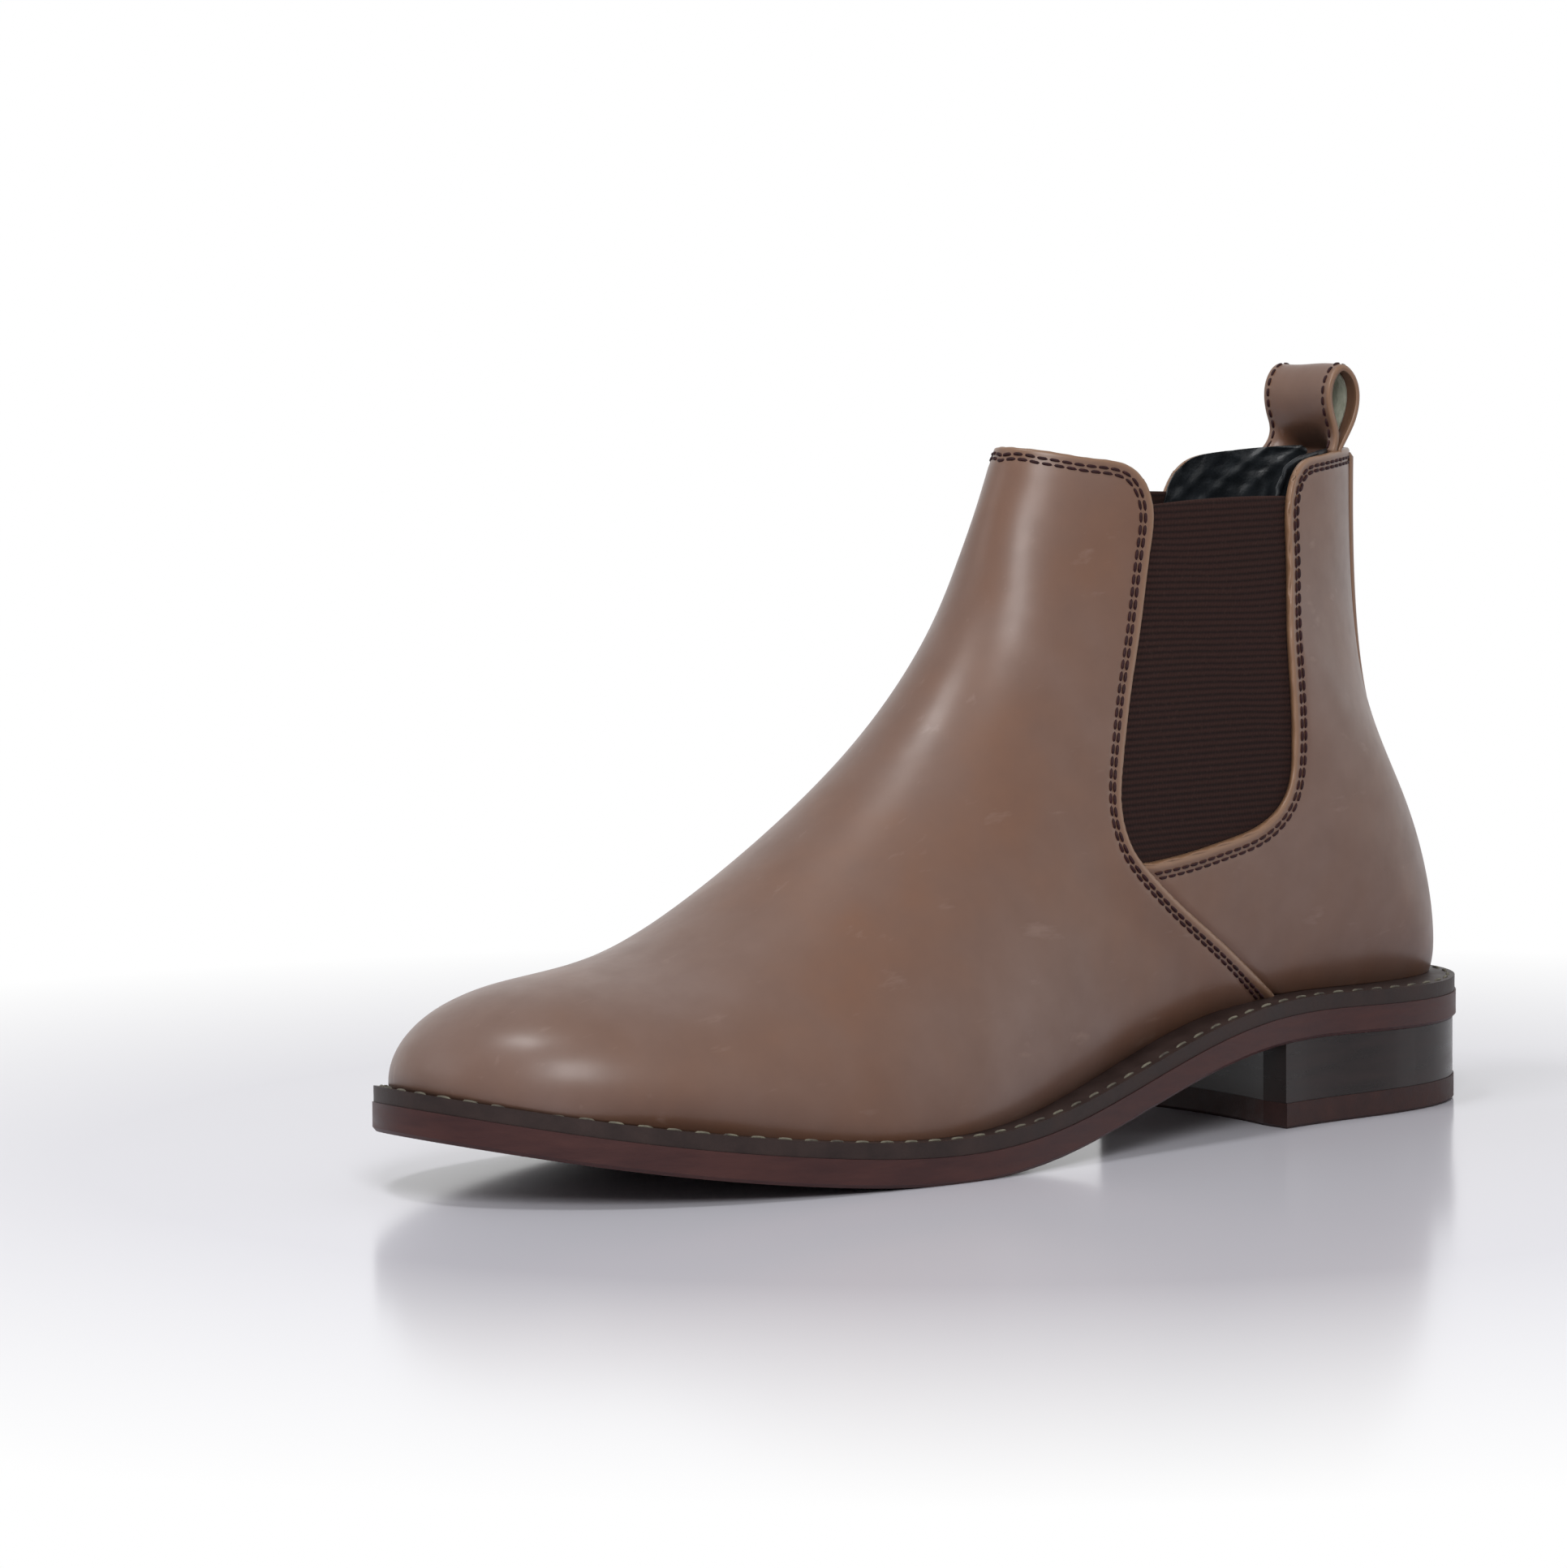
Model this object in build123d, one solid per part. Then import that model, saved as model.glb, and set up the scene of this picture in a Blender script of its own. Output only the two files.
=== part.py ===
from build123d import *
import math
import os
import numpy as np

# Chelsea boot for the left foot. Millimetres, +X to the toe, +Y to the outer
# side of the foot, +Z up. The top lift and the ball of the sole rest on Z = 0.

# ---- overall sizes ----
SOLE_LENGTH = 300.0
BALL_WIDTH = 102.0
SHAFT_RISE = 127.0          # feather line at the heel up to the back of the topline

# ---- sole unit ----
OUTSOLE = 6.4
WELT = 3.6
HEEL_LENGTH = 78.0
TOP_LIFT = 6.0
HEEL_BLOCK = 14.0
WELT_INNER = 14.0           # how far in from the sole's edge the welt reaches
WELT_SET = 0.3              # how far each layer's edge stands in from the outsole's
BLOCK_SET = 0.8
LIFT_SET = 0.5
RIM_BEVEL = 0.8             # broken edge under the outsole
LIFT_BEVEL = 0.7
SHANK_FRONT = -5.0
SHANK_LENGTH = 90.0
SHANK_WIDTH = 14.0
SHANK_THICK = 2.0
BREAST_RADIUS = 130.0       # hollow of the heel breast
BREAST_HOLLOW = 3.0
NAIL_DIAMETER = 2.0
NAIL_HEAD = 5.0
NAIL_HEAD_THICK = 1.0
NAIL_STOP = 4.0             # how far over the top lift the nails end
NAIL_PLACES = [(-19, 0), (-8, 11), (-8, -11), (15, 12), (15, -12)]
PIN_DIAMETER = 1.8
PIN_LENGTH = 12.0
PIN_SINK = 0.2              # how far a pin's end lies over the floor
PIN_PLACES = [(-31, 9), (-31, -9), (-14, 25), (-14, -25), (10, 27), (10, -27), (28, 15), (28, -15)]

# ---- layers of the upper, outside to inside ----
LEATHER = 1.6
MIDDLE = 1.2                # elastic, toe puff and heel counter
LINING = 0.8                # lining alone, where a middle piece lies over it
INSOLE = 2.2
SOCK = 1.4
HEEL_PAD = 2.6
GLUE = 0.1                  # film between glued or sewn faces
SPLIT = 0.3                 # clearance between pieces on different bodies

# ---- panels, in side view ----
GORE_LAP = 7.0              # elastic hidden under the leather edges
LINING_LAP = 4.0            # lining reaching over the elastic's hidden edge
SPLIT_Z = 86.0              # height at which the back of the shaft begins to lean
STRIP_TOP = 13.0            # width of the back strip at the topline
STRIP_FOOT = 8.0            # and at its lower end
STRIP_LOW = 54.0            # height of its lower end
STRIP_THICK = 1.1
STRIP_DROP = 2.0            # its top edge under the topline

# ---- pull loop ----
LOOP_WIDTH = 25.0
LOOP_LEATHER = 1.5
LOOP_TAPE = 0.8
LOOP_HEIGHT = 21.0
LOOP_DEPTH = 12.5
LOOP_ROOT = 2.6             # radius of the rounded root that the loop folds about
LOOP_X = -119.0
TAB_DEPTH = 16.0

X_SCALE = SOLE_LENGTH / 300.0
Y_SCALE = BALL_WIDTH / 102.0
Z_SCALE = SHAFT_RISE / 127.0
FEATHER = OUTSOLE + WELT
HEEL_RISE = TOP_LIFT + HEEL_BLOCK

# Underside of the sole: distance along the foot and height over the floor, as a
# share of the heel's height. It is level under the heel and lifts at the toe.
SOLE_X = np.array([-150, -111, -72, -45, -20, 5, 30, 55, 80, 105, 130, 152.0])
SOLE_RISE = np.array([1.0, 1.0, 1.0, 0.8, 0.46, 0.15, 0, 0.02, 0.14, 0.31, 0.53, 0.76])

# Edge of the sole seen from above, round from the heel by the outer side.
OUTLINE = np.array([
    (-150, 0), (-146.5, 14), (-136, 26), (-118, 33), (-85, 35), (-50, 40), (-15, 45),
    (30, 51), (65, 49.5), (95, 43), (120, 32), (138, 17.5), (148, 3), (150, -9),
    (146.5, -22), (134, -36), (112, -46), (80, -51), (45, -47), (12, -38), (-20, -31.5),
    (-55, -30), (-90, -32), (-120, -32), (-136, -26), (-146.5, -14)])

# Stations of the upper, from under the toe, back along the vamp and up the shaft.
# Each is a closed section standing across the foot, from a point on the top and
# front centre line to a point on the bottom and back centre line:
# x and height of the front point, x and height of the back point, half widths to
# the outer and inner side, where along the section it is widest, how full it is
# before and after that, and how far its middle is turned in.
STATIONS = np.array([
    (138.5, -11.5, 100.0, -8.0, 30.0, 26.0, 0.62, 2.0, 2.2, -8.0),
    (146.0, 0.0, 92.0, -8.0, 36.5, 31.5, 0.68, 2.0, 2.4, -8.0),
    (140.0, 14.5, 83.0, -8.0, 42.0, 37.0, 0.70, 2.0, 2.7, -7.0),
    (120.0, 27.0, 70.0, -10.0, 46.0, 42.0, 0.72, 2.0, 3.0, -5.0),
    (88.0, 37.5, 54.0, -10.0, 49.0, 46.0, 0.73, 2.0, 3.2, -3.0),
    (53.5, 59.5, 30.0, -10.0, 48.0, 46.0, 0.74, 1.9, 3.2, -1.0),
    (21.5, 84.5, 0.0, -10.0, 42.0, 40.0, 0.74, 1.85, 3.0, 0.0),
    (1.0, 105.5, -35.0, -10.5, 36.0, 35.0, 0.72, 1.85, 2.9, 0.0),
    (-7.5, 120.5, -77.0, -11.5, 32.5, 32.5, 0.68, 1.9, 2.7, 0.0),
    (-11.5, 130.0, -130.0, -9.0, 30.5, 30.5, 0.62, 1.95, 2.4, 0.0),
    (-14.5, 136.5, -147.0, 3.0, 29.0, 29.0, 0.58, 2.0, 2.1, 0.0),
    (-17.5, 142.5, -142.5, 32.0, 27.0, 27.0, 0.55, 2.0, 1.85, 0.0),
    (-22.0, 148.0, -127.0, 70.0, 25.0, 25.0, 0.52, 2.0, 1.7, 0.0),
    (-28.0, 159.0, -124.0, 120.0, 23.0, 23.0, 0.50, 2.0, 1.6, 0.0),
    (-31.0, 165.0, -125.0, 140.0, 22.5, 22.5, 0.50, 2.0, 1.6, 0.0)])
SECTIONS = 29
SECTION_POINTS = 11

# Edge of the vamp, from the topline down the front of the elastic and along the
# seam to the sole, and edge of the quarter round the back of the elastic.
# Each point is x and the height over the floor.
VAMP_EDGE = np.array([
    (-20, 159.5), (-30, 157.5), (-40, 154.8), (-44, 147.5), (-42.4, 135), (-38.7, 120.5),
    (-33, 105), (-27.3, 88), (-25, 76), (-26.8, 68.5), (-31, 63.4), (-37.5, 57.5),
    (-55, 44.7), (-68, 35.7), (-83, 26.5), (-98, 17)])
QUARTER_EDGE = np.array([
    (-113, 156.8), (-100, 156), (-91, 154), (-86.6, 148.5), (-84.8, 134), (-82.6, 115),
    (-82.1, 103), (-80.8, 86), (-77.6, 77), (-70, 71), (-57.8, 67.7), (-44.8, 65.5),
    (-28, 64)])
GORE_TOP = 147.0
BACK_TOP = 157.0
FRONT_TOP = 160.0
HEEL_RISE_0 = 20.0          # heel and sole for which the panel edges are drawn
FEATHER_0 = 10.0
FAR = 90.0                  # beyond either side of the foot
HIGH = 215.0                # above the topline


def spline_matrix(knots):
    """Second derivatives of a natural cubic through the knots, as a matrix."""
    count = len(knots)
    step = np.diff(knots)
    left = np.eye(count)
    right = np.zeros((count, count))
    for i in range(1, count - 1):
        left[i, i - 1:i + 2] = (step[i - 1], 2 * (step[i - 1] + step[i]), step[i])
        right[i, i - 1] = 6 / step[i - 1]
        right[i, i] = -6 / step[i - 1] - 6 / step[i]
        right[i, i + 1] = 6 / step[i]
    return np.linalg.solve(left, right)


def spline(knots, values, at):
    """Natural cubic curve through values at knots, read at the places given."""
    knots = np.asarray(knots, float)
    values = np.asarray(values, float)
    at = np.asarray(at, float)
    bend = spline_matrix(knots) @ values
    k = np.clip(np.searchsorted(knots, at, side="right") - 1, 0, len(knots) - 2)
    h = knots[k + 1] - knots[k]
    t = (at - knots[k]) / h
    if values.ndim > 1:
        t = t[:, None]
        h = h[:, None]
    s = 1 - t
    curve = s * values[k] + t * values[k + 1]
    return curve + h * h * ((s ** 3 - s) * bend[k] + (t ** 3 - t) * bend[k + 1]) / 6


def underside(x):
    """Height of the outsole's underside over the floor at x."""
    return HEEL_RISE * spline(SOLE_X * X_SCALE, SOLE_RISE, x)


def stations():
    """The station table in true millimetres, with heights over the floor."""
    table = STATIONS.copy()
    for x, z in ((0, 1), (2, 3)):
        table[:, x] *= X_SCALE
        table[:, z] = table[:, z] * Z_SCALE + underside(table[:, x]) + FEATHER
    table[:, (4, 5, 9)] *= Y_SCALE
    return table


def sections(depth, at):
    """Stations read at the places given, moved in by depth square to the skin."""
    table = stations()
    knots = np.arange(len(table))
    row = spline(knots, table, at)
    nudge = 0.001
    slope = spline(knots, table, at + nudge) - spline(knots, table, at - nudge)
    for x, z, side in ((0, 1, 1), (2, 3, -1)):
        length = np.hypot(slope[:, x], slope[:, z])
        row[:, x] -= side * depth * slope[:, z] / length
        row[:, z] += side * depth * slope[:, x] / length
    row[:, 4:6] -= depth
    return row


def section_wire(row):
    """One closed section: a half to the outer side and a half to the inner."""
    x0, z0, x1, z1, outer, inner, widest, full0, full1, turn = row
    angle = np.linspace(0, math.pi, SECTION_POINTS)
    full = np.where(angle <= math.pi / 2, full0, full1)
    along = np.abs(np.cos(angle)) ** (2 / full)
    across = np.abs(np.sin(angle)) ** (2 / full)
    across[0] = 0
    across[-1] = 0
    share = np.where(angle <= math.pi / 2, widest * (1 - along), widest + (1 - widest) * along)
    xs = x0 + (x1 - x0) * share
    zs = z0 + (z1 - z0) * share
    out = [Vector(x, turn + outer * w, z) for x, w, z in zip(xs, across, zs)]
    back = [Vector(x, turn - inner * w, z) for x, w, z in zip(xs, across, zs)][::-1]
    spacing = [float(a) for a in angle / math.pi]
    return Wire([Edge.make_spline(out, parameters=spacing), Edge.make_spline(back, parameters=spacing)])


def skin(depth, short=0.0):
    """Solid inside the upper's surface, moved in by depth and stopped short at both ends."""
    at = np.linspace(short, len(STATIONS) - 1 - short, SECTIONS)
    return Solid.make_loft([section_wire(row) for row in sections(depth, at)])


def closed_curve(points, count):
    """Round closed curve through the points, spaced by their distance."""
    ring = np.vstack((points[-3:], points, points[:4]))
    knots = np.r_[0, np.cumsum(np.hypot(*np.diff(ring, axis=0).T))]
    at = np.linspace(knots[3], knots[3 + len(points)], count, endpoint=False)
    return spline(knots, ring, at)


def open_curve(points, count):
    """Smooth curve through the points, spaced by their distance."""
    knots = np.r_[0, np.cumsum(np.hypot(*np.diff(points, axis=0).T))]
    return spline(knots, points, np.linspace(0, knots[-1], count))


def shell(outside, inside):
    """Tube wall between two depths, open at both ends."""
    return skin(outside, 0.2) - skin(inside)


def outline(inset, count=60):
    """Edge of the sole from above, moved in by inset."""
    ring = closed_curve(OUTLINE * (X_SCALE, Y_SCALE), count)
    run = np.roll(ring, -1, axis=0) - np.roll(ring, 1, axis=0)
    square = np.c_[run[:, 1], -run[:, 0]] / np.hypot(*run.T)[:, None]
    return ring + inset * square


def plan(inset, low=-1.0, high=HIGH):
    """Upright block with the sole's outline."""
    points = [Vector(x, y, low) for x, y in outline(inset)]
    edge = Edge.make_spline(points, periodic=True)
    return Solid.extrude(Face(Wire([edge])), Vector(0, 0, high - low))


def side_block(corners, curves=()):
    """Block right across the foot, from smooth curves and then corners in side view."""
    edges = []
    runs = [list(curve) for curve in curves] + [[corner] for corner in corners]
    for run, following in zip(runs, runs[1:] + runs[:1]):
        path = [Vector(x, -FAR, z) for x, z in run]
        if len(path) > 1:
            edges.append(Edge.make_spline(path))
        edges.append(Edge.make_line(path[-1], Vector(following[0][0], -FAR, following[0][1])))
    return Solid.extrude(Face(Wire(edges)), Vector(0, 2 * FAR, 0))


def layer(low, high):
    """Sheet that follows the sole's underside, between two heights over it."""
    xs = np.linspace(-152, 152, 62) * X_SCALE
    base = underside(xs)
    lower = Edge.make_spline([Vector(x, -FAR, z + low) for x, z in zip(xs, base)])
    upper = Edge.make_spline([Vector(x, -FAR, z + high) for x, z in zip(xs, base)])
    ends = [Edge.make_line(lower @ 0, upper @ 0), Edge.make_line(lower @ 1, upper @ 1)]
    return Solid.extrude(Face(Wire([lower, upper] + ends)), Vector(0, 2 * FAR, 0))


def scaled(points):
    """Side-view points carried along when the boot grows."""
    ground = underside(points[:, 0] * X_SCALE) + FEATHER
    base = HEEL_RISE_0 * spline(SOLE_X, SOLE_RISE, points[:, 0]) + FEATHER_0
    return np.c_[points[:, 0] * X_SCALE, (points[:, 1] - base) * Z_SCALE + ground]


def level(x, z):
    """Height over the floor of one side-view point, carried along likewise."""
    return float(scaled(np.array([(x, z)]))[0, 1])


def grown(points, distance):
    """Curve moved sideways by distance, to the left of its run."""
    run = np.gradient(points, axis=0)
    return points + distance * np.c_[-run[:, 1], run[:, 0]] / np.hypot(*run.T)[:, None]


def vamp_block(gap):
    """All that lies in front of the vamp's edge, moved back by gap."""
    edge = grown(open_curve(scaled(VAMP_EDGE), 36), -gap)
    front = SOLE_LENGTH / 2 + 10
    top = level(-10, FRONT_TOP)
    rest = [(edge[-1, 0], -5), (front, -5), (front, top), (edge[0, 0] + 10, top)]
    return side_block(rest, [edge])


def quarter_block(gap):
    """All that lies behind the quarter's edge, moved forward by gap."""
    edge = grown(open_curve(scaled(QUARTER_EDGE), 36), gap)
    back = -SOLE_LENGTH / 2 - 10
    top = level(-125, BACK_TOP)
    rest = [(edge[-1, 0], -5), (back, -5), (back, top), (edge[0, 0] - 6, top)]
    return side_block(rest, [edge])


def gore_block(margin, top_gap=0.0):
    """The elastic's window in side view, grown by margin."""
    front = open_curve(scaled(VAMP_EDGE[3:11]), 24)
    rear = open_curve(scaled(QUARTER_EDGE[3:12]), 24)
    front = grown(front, margin)
    rear = grown(rear, -margin)
    top = level(-65, GORE_TOP) + top_gap
    front = front[front[:, 1] < top - 0.5]
    rear = rear[rear[:, 1] < top - 0.5]
    behind = [(rear[0, 0], top)]
    ahead = [(front[0, 0], top)]
    return side_block([], [rear[::-1], behind, ahead, front])


def half(side, gap=GLUE / 2):
    """Everything on one side of the foot's middle plane."""
    return Pos(0, side * (gap + FAR / 2), HIGH / 2) * Box(500, FAR, 2 * HIGH)


def above(z):
    """Everything over a height."""
    return Pos(0, 0, z + HIGH / 2) * Box(500, 2 * FAR, HIGH)


def below(z):
    """Everything under a height."""
    return Pos(0, 0, z - HIGH / 2) * Box(500, 2 * FAR, HIGH)


def heel_zone():
    """Everything behind the hollow breast of the heel."""
    breast = -SOLE_LENGTH / 2 + HEEL_LENGTH
    hollow = Pos(breast + BREAST_RADIUS - BREAST_HOLLOW, 0, 0) * Cylinder(BREAST_RADIUS, 200)
    block = Pos(breast - 100, 0, 0) * Box(200, 2 * FAR, 200)
    return block - hollow


def strip_zone():
    """Back strip in back view: a band that narrows downwards."""
    top = level(-125, BACK_TOP) - STRIP_DROP
    low = level(-145, STRIP_LOW)
    corners = [(STRIP_FOOT, low), (STRIP_TOP, top), (-STRIP_TOP, top), (-STRIP_FOOT, low)]
    path = [Vector(-SOLE_LENGTH / 2 - 10, width / 2, z) for width, z in corners]
    edges = [Edge.make_line(a, b) for a, b in zip(path, path[1:] + path[:1])]
    return Solid.extrude(Face(Wire(edges)), Vector(60, 0, 0))


def hinge_line():
    """Where the back of the shaft leans from: just behind the back strip."""
    z = level(-130, SPLIT_Z)
    rows = sections(-GLUE - STRIP_THICK, np.linspace(10.5, 12.5, 81))
    return float(np.interp(z, rows[:, 3], rows[:, 2])) - SPLIT, z


def loop_centre():
    """Where the pull loop turns: just over the topline at the back."""
    return LOOP_X * X_SCALE, level(-125, BACK_TOP) + SPLIT + LOOP_ROOT


def drop(inset):
    """Pull loop's outer shape in side view, a standing drop, moved in by inset."""
    x, z = loop_centre()
    half_depth = LOOP_DEPTH / 2
    top = LOOP_HEIGHT - LOOP_ROOT
    points = np.array([
        (0, top), (-0.72 * half_depth, top - 1.9), (-half_depth, top - 6.5),
        (-0.75 * half_depth, top - 11.5), (-0.34 * half_depth, 0.8), (0, -1.2),
        (0.34 * half_depth, 0.8), (0.75 * half_depth, top - 11.5),
        (half_depth, top - 6.5), (0.72 * half_depth, top - 1.9)])
    ring = closed_curve(points, 40)
    run = np.roll(ring, -1, axis=0) - np.roll(ring, 1, axis=0)
    ring += inset * np.c_[-run[:, 1], run[:, 0]] / np.hypot(*run.T)[:, None]
    if inset > 0:
        ring = ring[ring[:, 1] > 1.2 + 1.6 * inset]
    path = [Vector(x + px, -LOOP_WIDTH / 2, z + pz) for px, pz in ring]
    edges = [Edge.make_line(a, b) for a, b in zip(path, path[1:] + path[:1])]
    return Solid.extrude(Face(Wire(edges)), Vector(0, LOOP_WIDTH, 0))


def pull_loop(made):
    """Leather loop over a round root, lined with a woven tape."""
    x, z = loop_centre()
    root = Pos(x, 0, z) * Rot(90, 0, 0) * Cylinder(LOOP_ROOT, LOOP_WIDTH)
    made["pull_loop"] = (drop(0) + root) - drop(LOOP_LEATHER)
    made["pull_loop_tape"] = drop(LOOP_LEATHER + GLUE) - drop(LOOP_LEATHER + GLUE + LOOP_TAPE)


def nails():
    """Heel nails, head down from the insole into the heel block."""
    x = -SOLE_LENGTH / 2 + HEEL_LENGTH / 2
    low = TOP_LIFT + NAIL_STOP
    shafts = []
    heads = []
    for dx, y in NAIL_PLACES:
        top = float(underside(np.array([x + dx]))[0]) + FEATHER + GLUE + INSOLE
        shafts.append(Pos(x + dx, y, (top + low) / 2) * Cylinder(NAIL_DIAMETER / 2, top - low))
        centre = top - NAIL_HEAD_THICK / 2
        heads.append(Pos(x + dx, y, centre) * Cylinder(NAIL_HEAD / 2, NAIL_HEAD_THICK))
    return shafts, heads


def pins():
    """Small pins that hold the top lift, set round its edge."""
    x = -SOLE_LENGTH / 2 + HEEL_LENGTH / 2
    middle = PIN_SINK + PIN_LENGTH / 2
    return [Pos(x + dx, y, middle) * Cylinder(PIN_DIAMETER / 2, PIN_LENGTH) for dx, y in PIN_PLACES]


def sole_unit(made):
    """Outsole, welt, filler, shank, heel block, top lift and their fixings."""
    shafts, heads = nails()
    held = pins()
    wider = [offset_pin(s, GLUE / 2) for s in held]
    holes = [offset_pin(s, GLUE / 2) for s in shafts]
    edge = plan(0.0)
    ring = plan(WELT_INNER)
    core = plan(WELT_INNER + GLUE)
    outsole = (layer(0, OUTSOLE) & edge) - holes
    welt = (layer(OUTSOLE + GLUE / 2, FEATHER) & plan(WELT_SET)) - ring
    long = SHANK_LENGTH * X_SCALE
    middle = SHANK_FRONT * X_SCALE - long / 2
    slot = Pos(middle, 0, 0) * Box(long, SHANK_WIDTH, 2 * HIGH)
    room = Pos(middle, 0, 0) * Box(long + 2 * GLUE, SHANK_WIDTH + 2 * GLUE, 2 * HIGH)
    low = OUTSOLE + GLUE
    top = low + GLUE + SHANK_THICK
    shank = layer(low + GLUE, top) & slot
    filler = (layer(low, FEATHER) & core) - (layer(low - 1, top + GLUE) & room) - holes
    under = layer(-2 * HEEL_RISE, -GLUE / 2)
    block = (plan(BLOCK_SET, TOP_LIFT + GLUE / 2) & under & heel_zone()) - holes - wider
    lift = (plan(LIFT_SET, 0.0, TOP_LIFT) & heel_zone()) - wider
    lift = chamfer(lift.faces().sort_by(Axis.Z)[0].edges(), LIFT_BEVEL)
    made["outsole"] = chamfer(outer_rim(outsole), RIM_BEVEL)
    made["welt"] = welt
    made["shank"] = shank
    made["cork_filler"] = filler
    made["heel_block"] = block
    made["top_lift"] = lift
    made["lift_pins"] = Compound(held)
    made["heel_nails"] = Compound([(s + h).solid() for s, h in zip(shafts, heads)])
    return holes, heads


def outer_rim(solid):
    """Long edges round the underside of the outsole."""
    face = solid.faces().sort_by(lambda f: -f.area)
    low = [f for f in face[:3] if f.normal_at().Z < -0.5][0]
    return low.outer_wire().edges()


def offset_pin(pin, gap):
    """The same upright pin, made thicker by a clearance."""
    box = pin.bounding_box()
    centre = box.center()
    return Pos(centre.X, centre.Y, centre.Z) * Cylinder(box.size.X / 2 + gap, box.size.Z + 2 * gap)


def footbed(made, holes, heads):
    """Insole board, sock and heel pad, stacked on the filler."""
    base = FEATHER + GLUE
    wall = LEATHER + MIDDLE + LINING + 3 * GLUE
    inside = skin(wall)
    insole = (inside & layer(base, base + INSOLE)) - holes
    made["insole"] = insole - [offset_pin(h, GLUE / 2) for h in heads]
    low = base + INSOLE + GLUE
    sock = inside & layer(low, low + SOCK)
    made["sock_liner"] = sock
    low += SOCK + GLUE
    centre = -SOLE_LENGTH / 2 + 44
    pad = Pos(centre, 0, 0) * extrude(SlotOverall(66 * X_SCALE, 44 * Y_SCALE), HIGH)
    made["heel_pad"] = inside & layer(low, low + HEEL_PAD) & pad


def upper(made):
    """Leather, elastic, stiffeners and lining, cut from nested skins."""
    base = layer(FEATHER + GLUE, HIGH)
    split = level(-130, SPLIT_Z)
    hinge_low = below(split - SPLIT / 2)
    hinge_high = above(split + SPLIT / 2)
    outer = shell(0, LEATHER) & base
    vamp = outer & vamp_block(0)
    quarters = (outer & quarter_block(0)) - vamp_block(GLUE)
    made["vamp"] = vamp
    middle = shell(LEATHER + GLUE, LEATHER + GLUE + MIDDLE) & base
    gores = middle & gore_block(GORE_LAP)
    for side, name in ((1, "lateral"), (-1, "medial")):
        quarter = quarters & half(side)
        made["quarter_" + name] = quarter & hinge_low
        made["quarter_" + name + "_upper"] = quarter & hinge_high
        made["gore_" + name] = gores & half(side)
    made["toe_puff"] = middle & puff_block()
    made["heel_counter"] = middle & counter_block()
    made["pull_loop_tab"] = middle & tab_block()
    strip = shell(-GLUE - STRIP_THICK, -GLUE) & strip_zone()
    made["back_strip"] = strip & hinge_low
    made["back_strip_upper"] = strip & hinge_high
    lining(made, base, hinge_low, hinge_high)


def over_topline(fall):
    """Everything over the topline, lowered by fall."""
    drawn = np.vstack(([(-14, 160)], VAMP_EDGE[1:3], [(-46, 150.5), (-84, 150)],
                       QUARTER_EDGE[2::-1], [(-131, 157)]))
    line = scaled(drawn) - (0, fall)
    end = SOLE_LENGTH / 2 + 10
    return side_block([(end, line[0, 1])] + list(line) + [(-end, line[-1, 1]), (-end, HIGH), (end, HIGH)])


def counter_block(gap=0.0):
    """Heel counter in side view, cupping the heel."""
    back = -SOLE_LENGTH / 2 - 5
    points = np.array([(back, 15), (-88, 15), (-92, 38), (-106, 60), (-118, 76), (back, 80)])
    line = scaled(points) + (gap, gap)
    return side_block([(x, z) for x, z in line])


def puff_block(gap=0.0):
    """Toe puff: everything ahead of the toes."""
    return Pos(150 * X_SCALE - gap, 0, 0) * Box(110 * X_SCALE, 2 * FAR, 2 * HIGH)


def tab_block(gap=0.0):
    """Sewn-in ends of the pull loop, at the back under the topline."""
    top = level(-125, BACK_TOP) - 1.5
    size = LOOP_WIDTH + 2 * gap
    return Pos(-120 * X_SCALE, 0, top - TAB_DEPTH / 2) * Box(40, size, TAB_DEPTH + 2 * gap)


def lining(made, base, low, high):
    """Lining of the foot and shaft, let in where a middle piece lies over it."""
    depth = LEATHER + GLUE
    inner = depth + MIDDLE + GLUE
    whole = (shell(depth, inner + LINING) & base) - over_topline(0.4)
    core = skin(inner)
    whole = whole - gore_block(LINING_LAP - GORE_LAP + 2.0, HIGH)
    zones = [puff_block(GLUE), counter_block(GLUE), tab_block(GLUE), gore_block(GORE_LAP + GLUE, GLUE)]
    for zone in zones:
        whole = whole - (zone - core)
    front = whole & vamp_block(10.0)
    behind = whole - vamp_block(10.0 + GLUE)
    made["vamp_lining"] = front
    made["quarter_lining"] = behind & low
    made["quarter_lining_upper"] = behind & high


def write(made):
    """One STEP file for each named piece."""
    os.makedirs("parts", exist_ok=True)
    for name, shape in made.items():
        solids = shape.solids()
        print(name, [round(s.volume) for s in solids])
        whole = solids[0] if len(solids) == 1 else Compound(solids)
        export_step(whole, "parts/" + name + ".step")


def main():
    made = {}
    holes, heads = sole_unit(made)
    footbed(made, holes, heads)
    upper(made)
    pull_loop(made)
    write(made)
    print("hinge line", hinge_line(), "loop", loop_centre())


main()
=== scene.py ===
"""Left chelsea boot: waxed calf upper, elastic sides, pull loop, welted sole and stacked heel.

The upper's skin is a function of two parameters: a station t that runs from under the toe back
along the vamp and up the shaft, and an angle a that runs from the front centre line (0) round
either side of the foot to the back seam (pi, outer side positive). Sizes are millimetres until
a mesh is made.
"""
import math

import bpy
import numpy as np
from mathutils import Matrix, Vector


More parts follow.
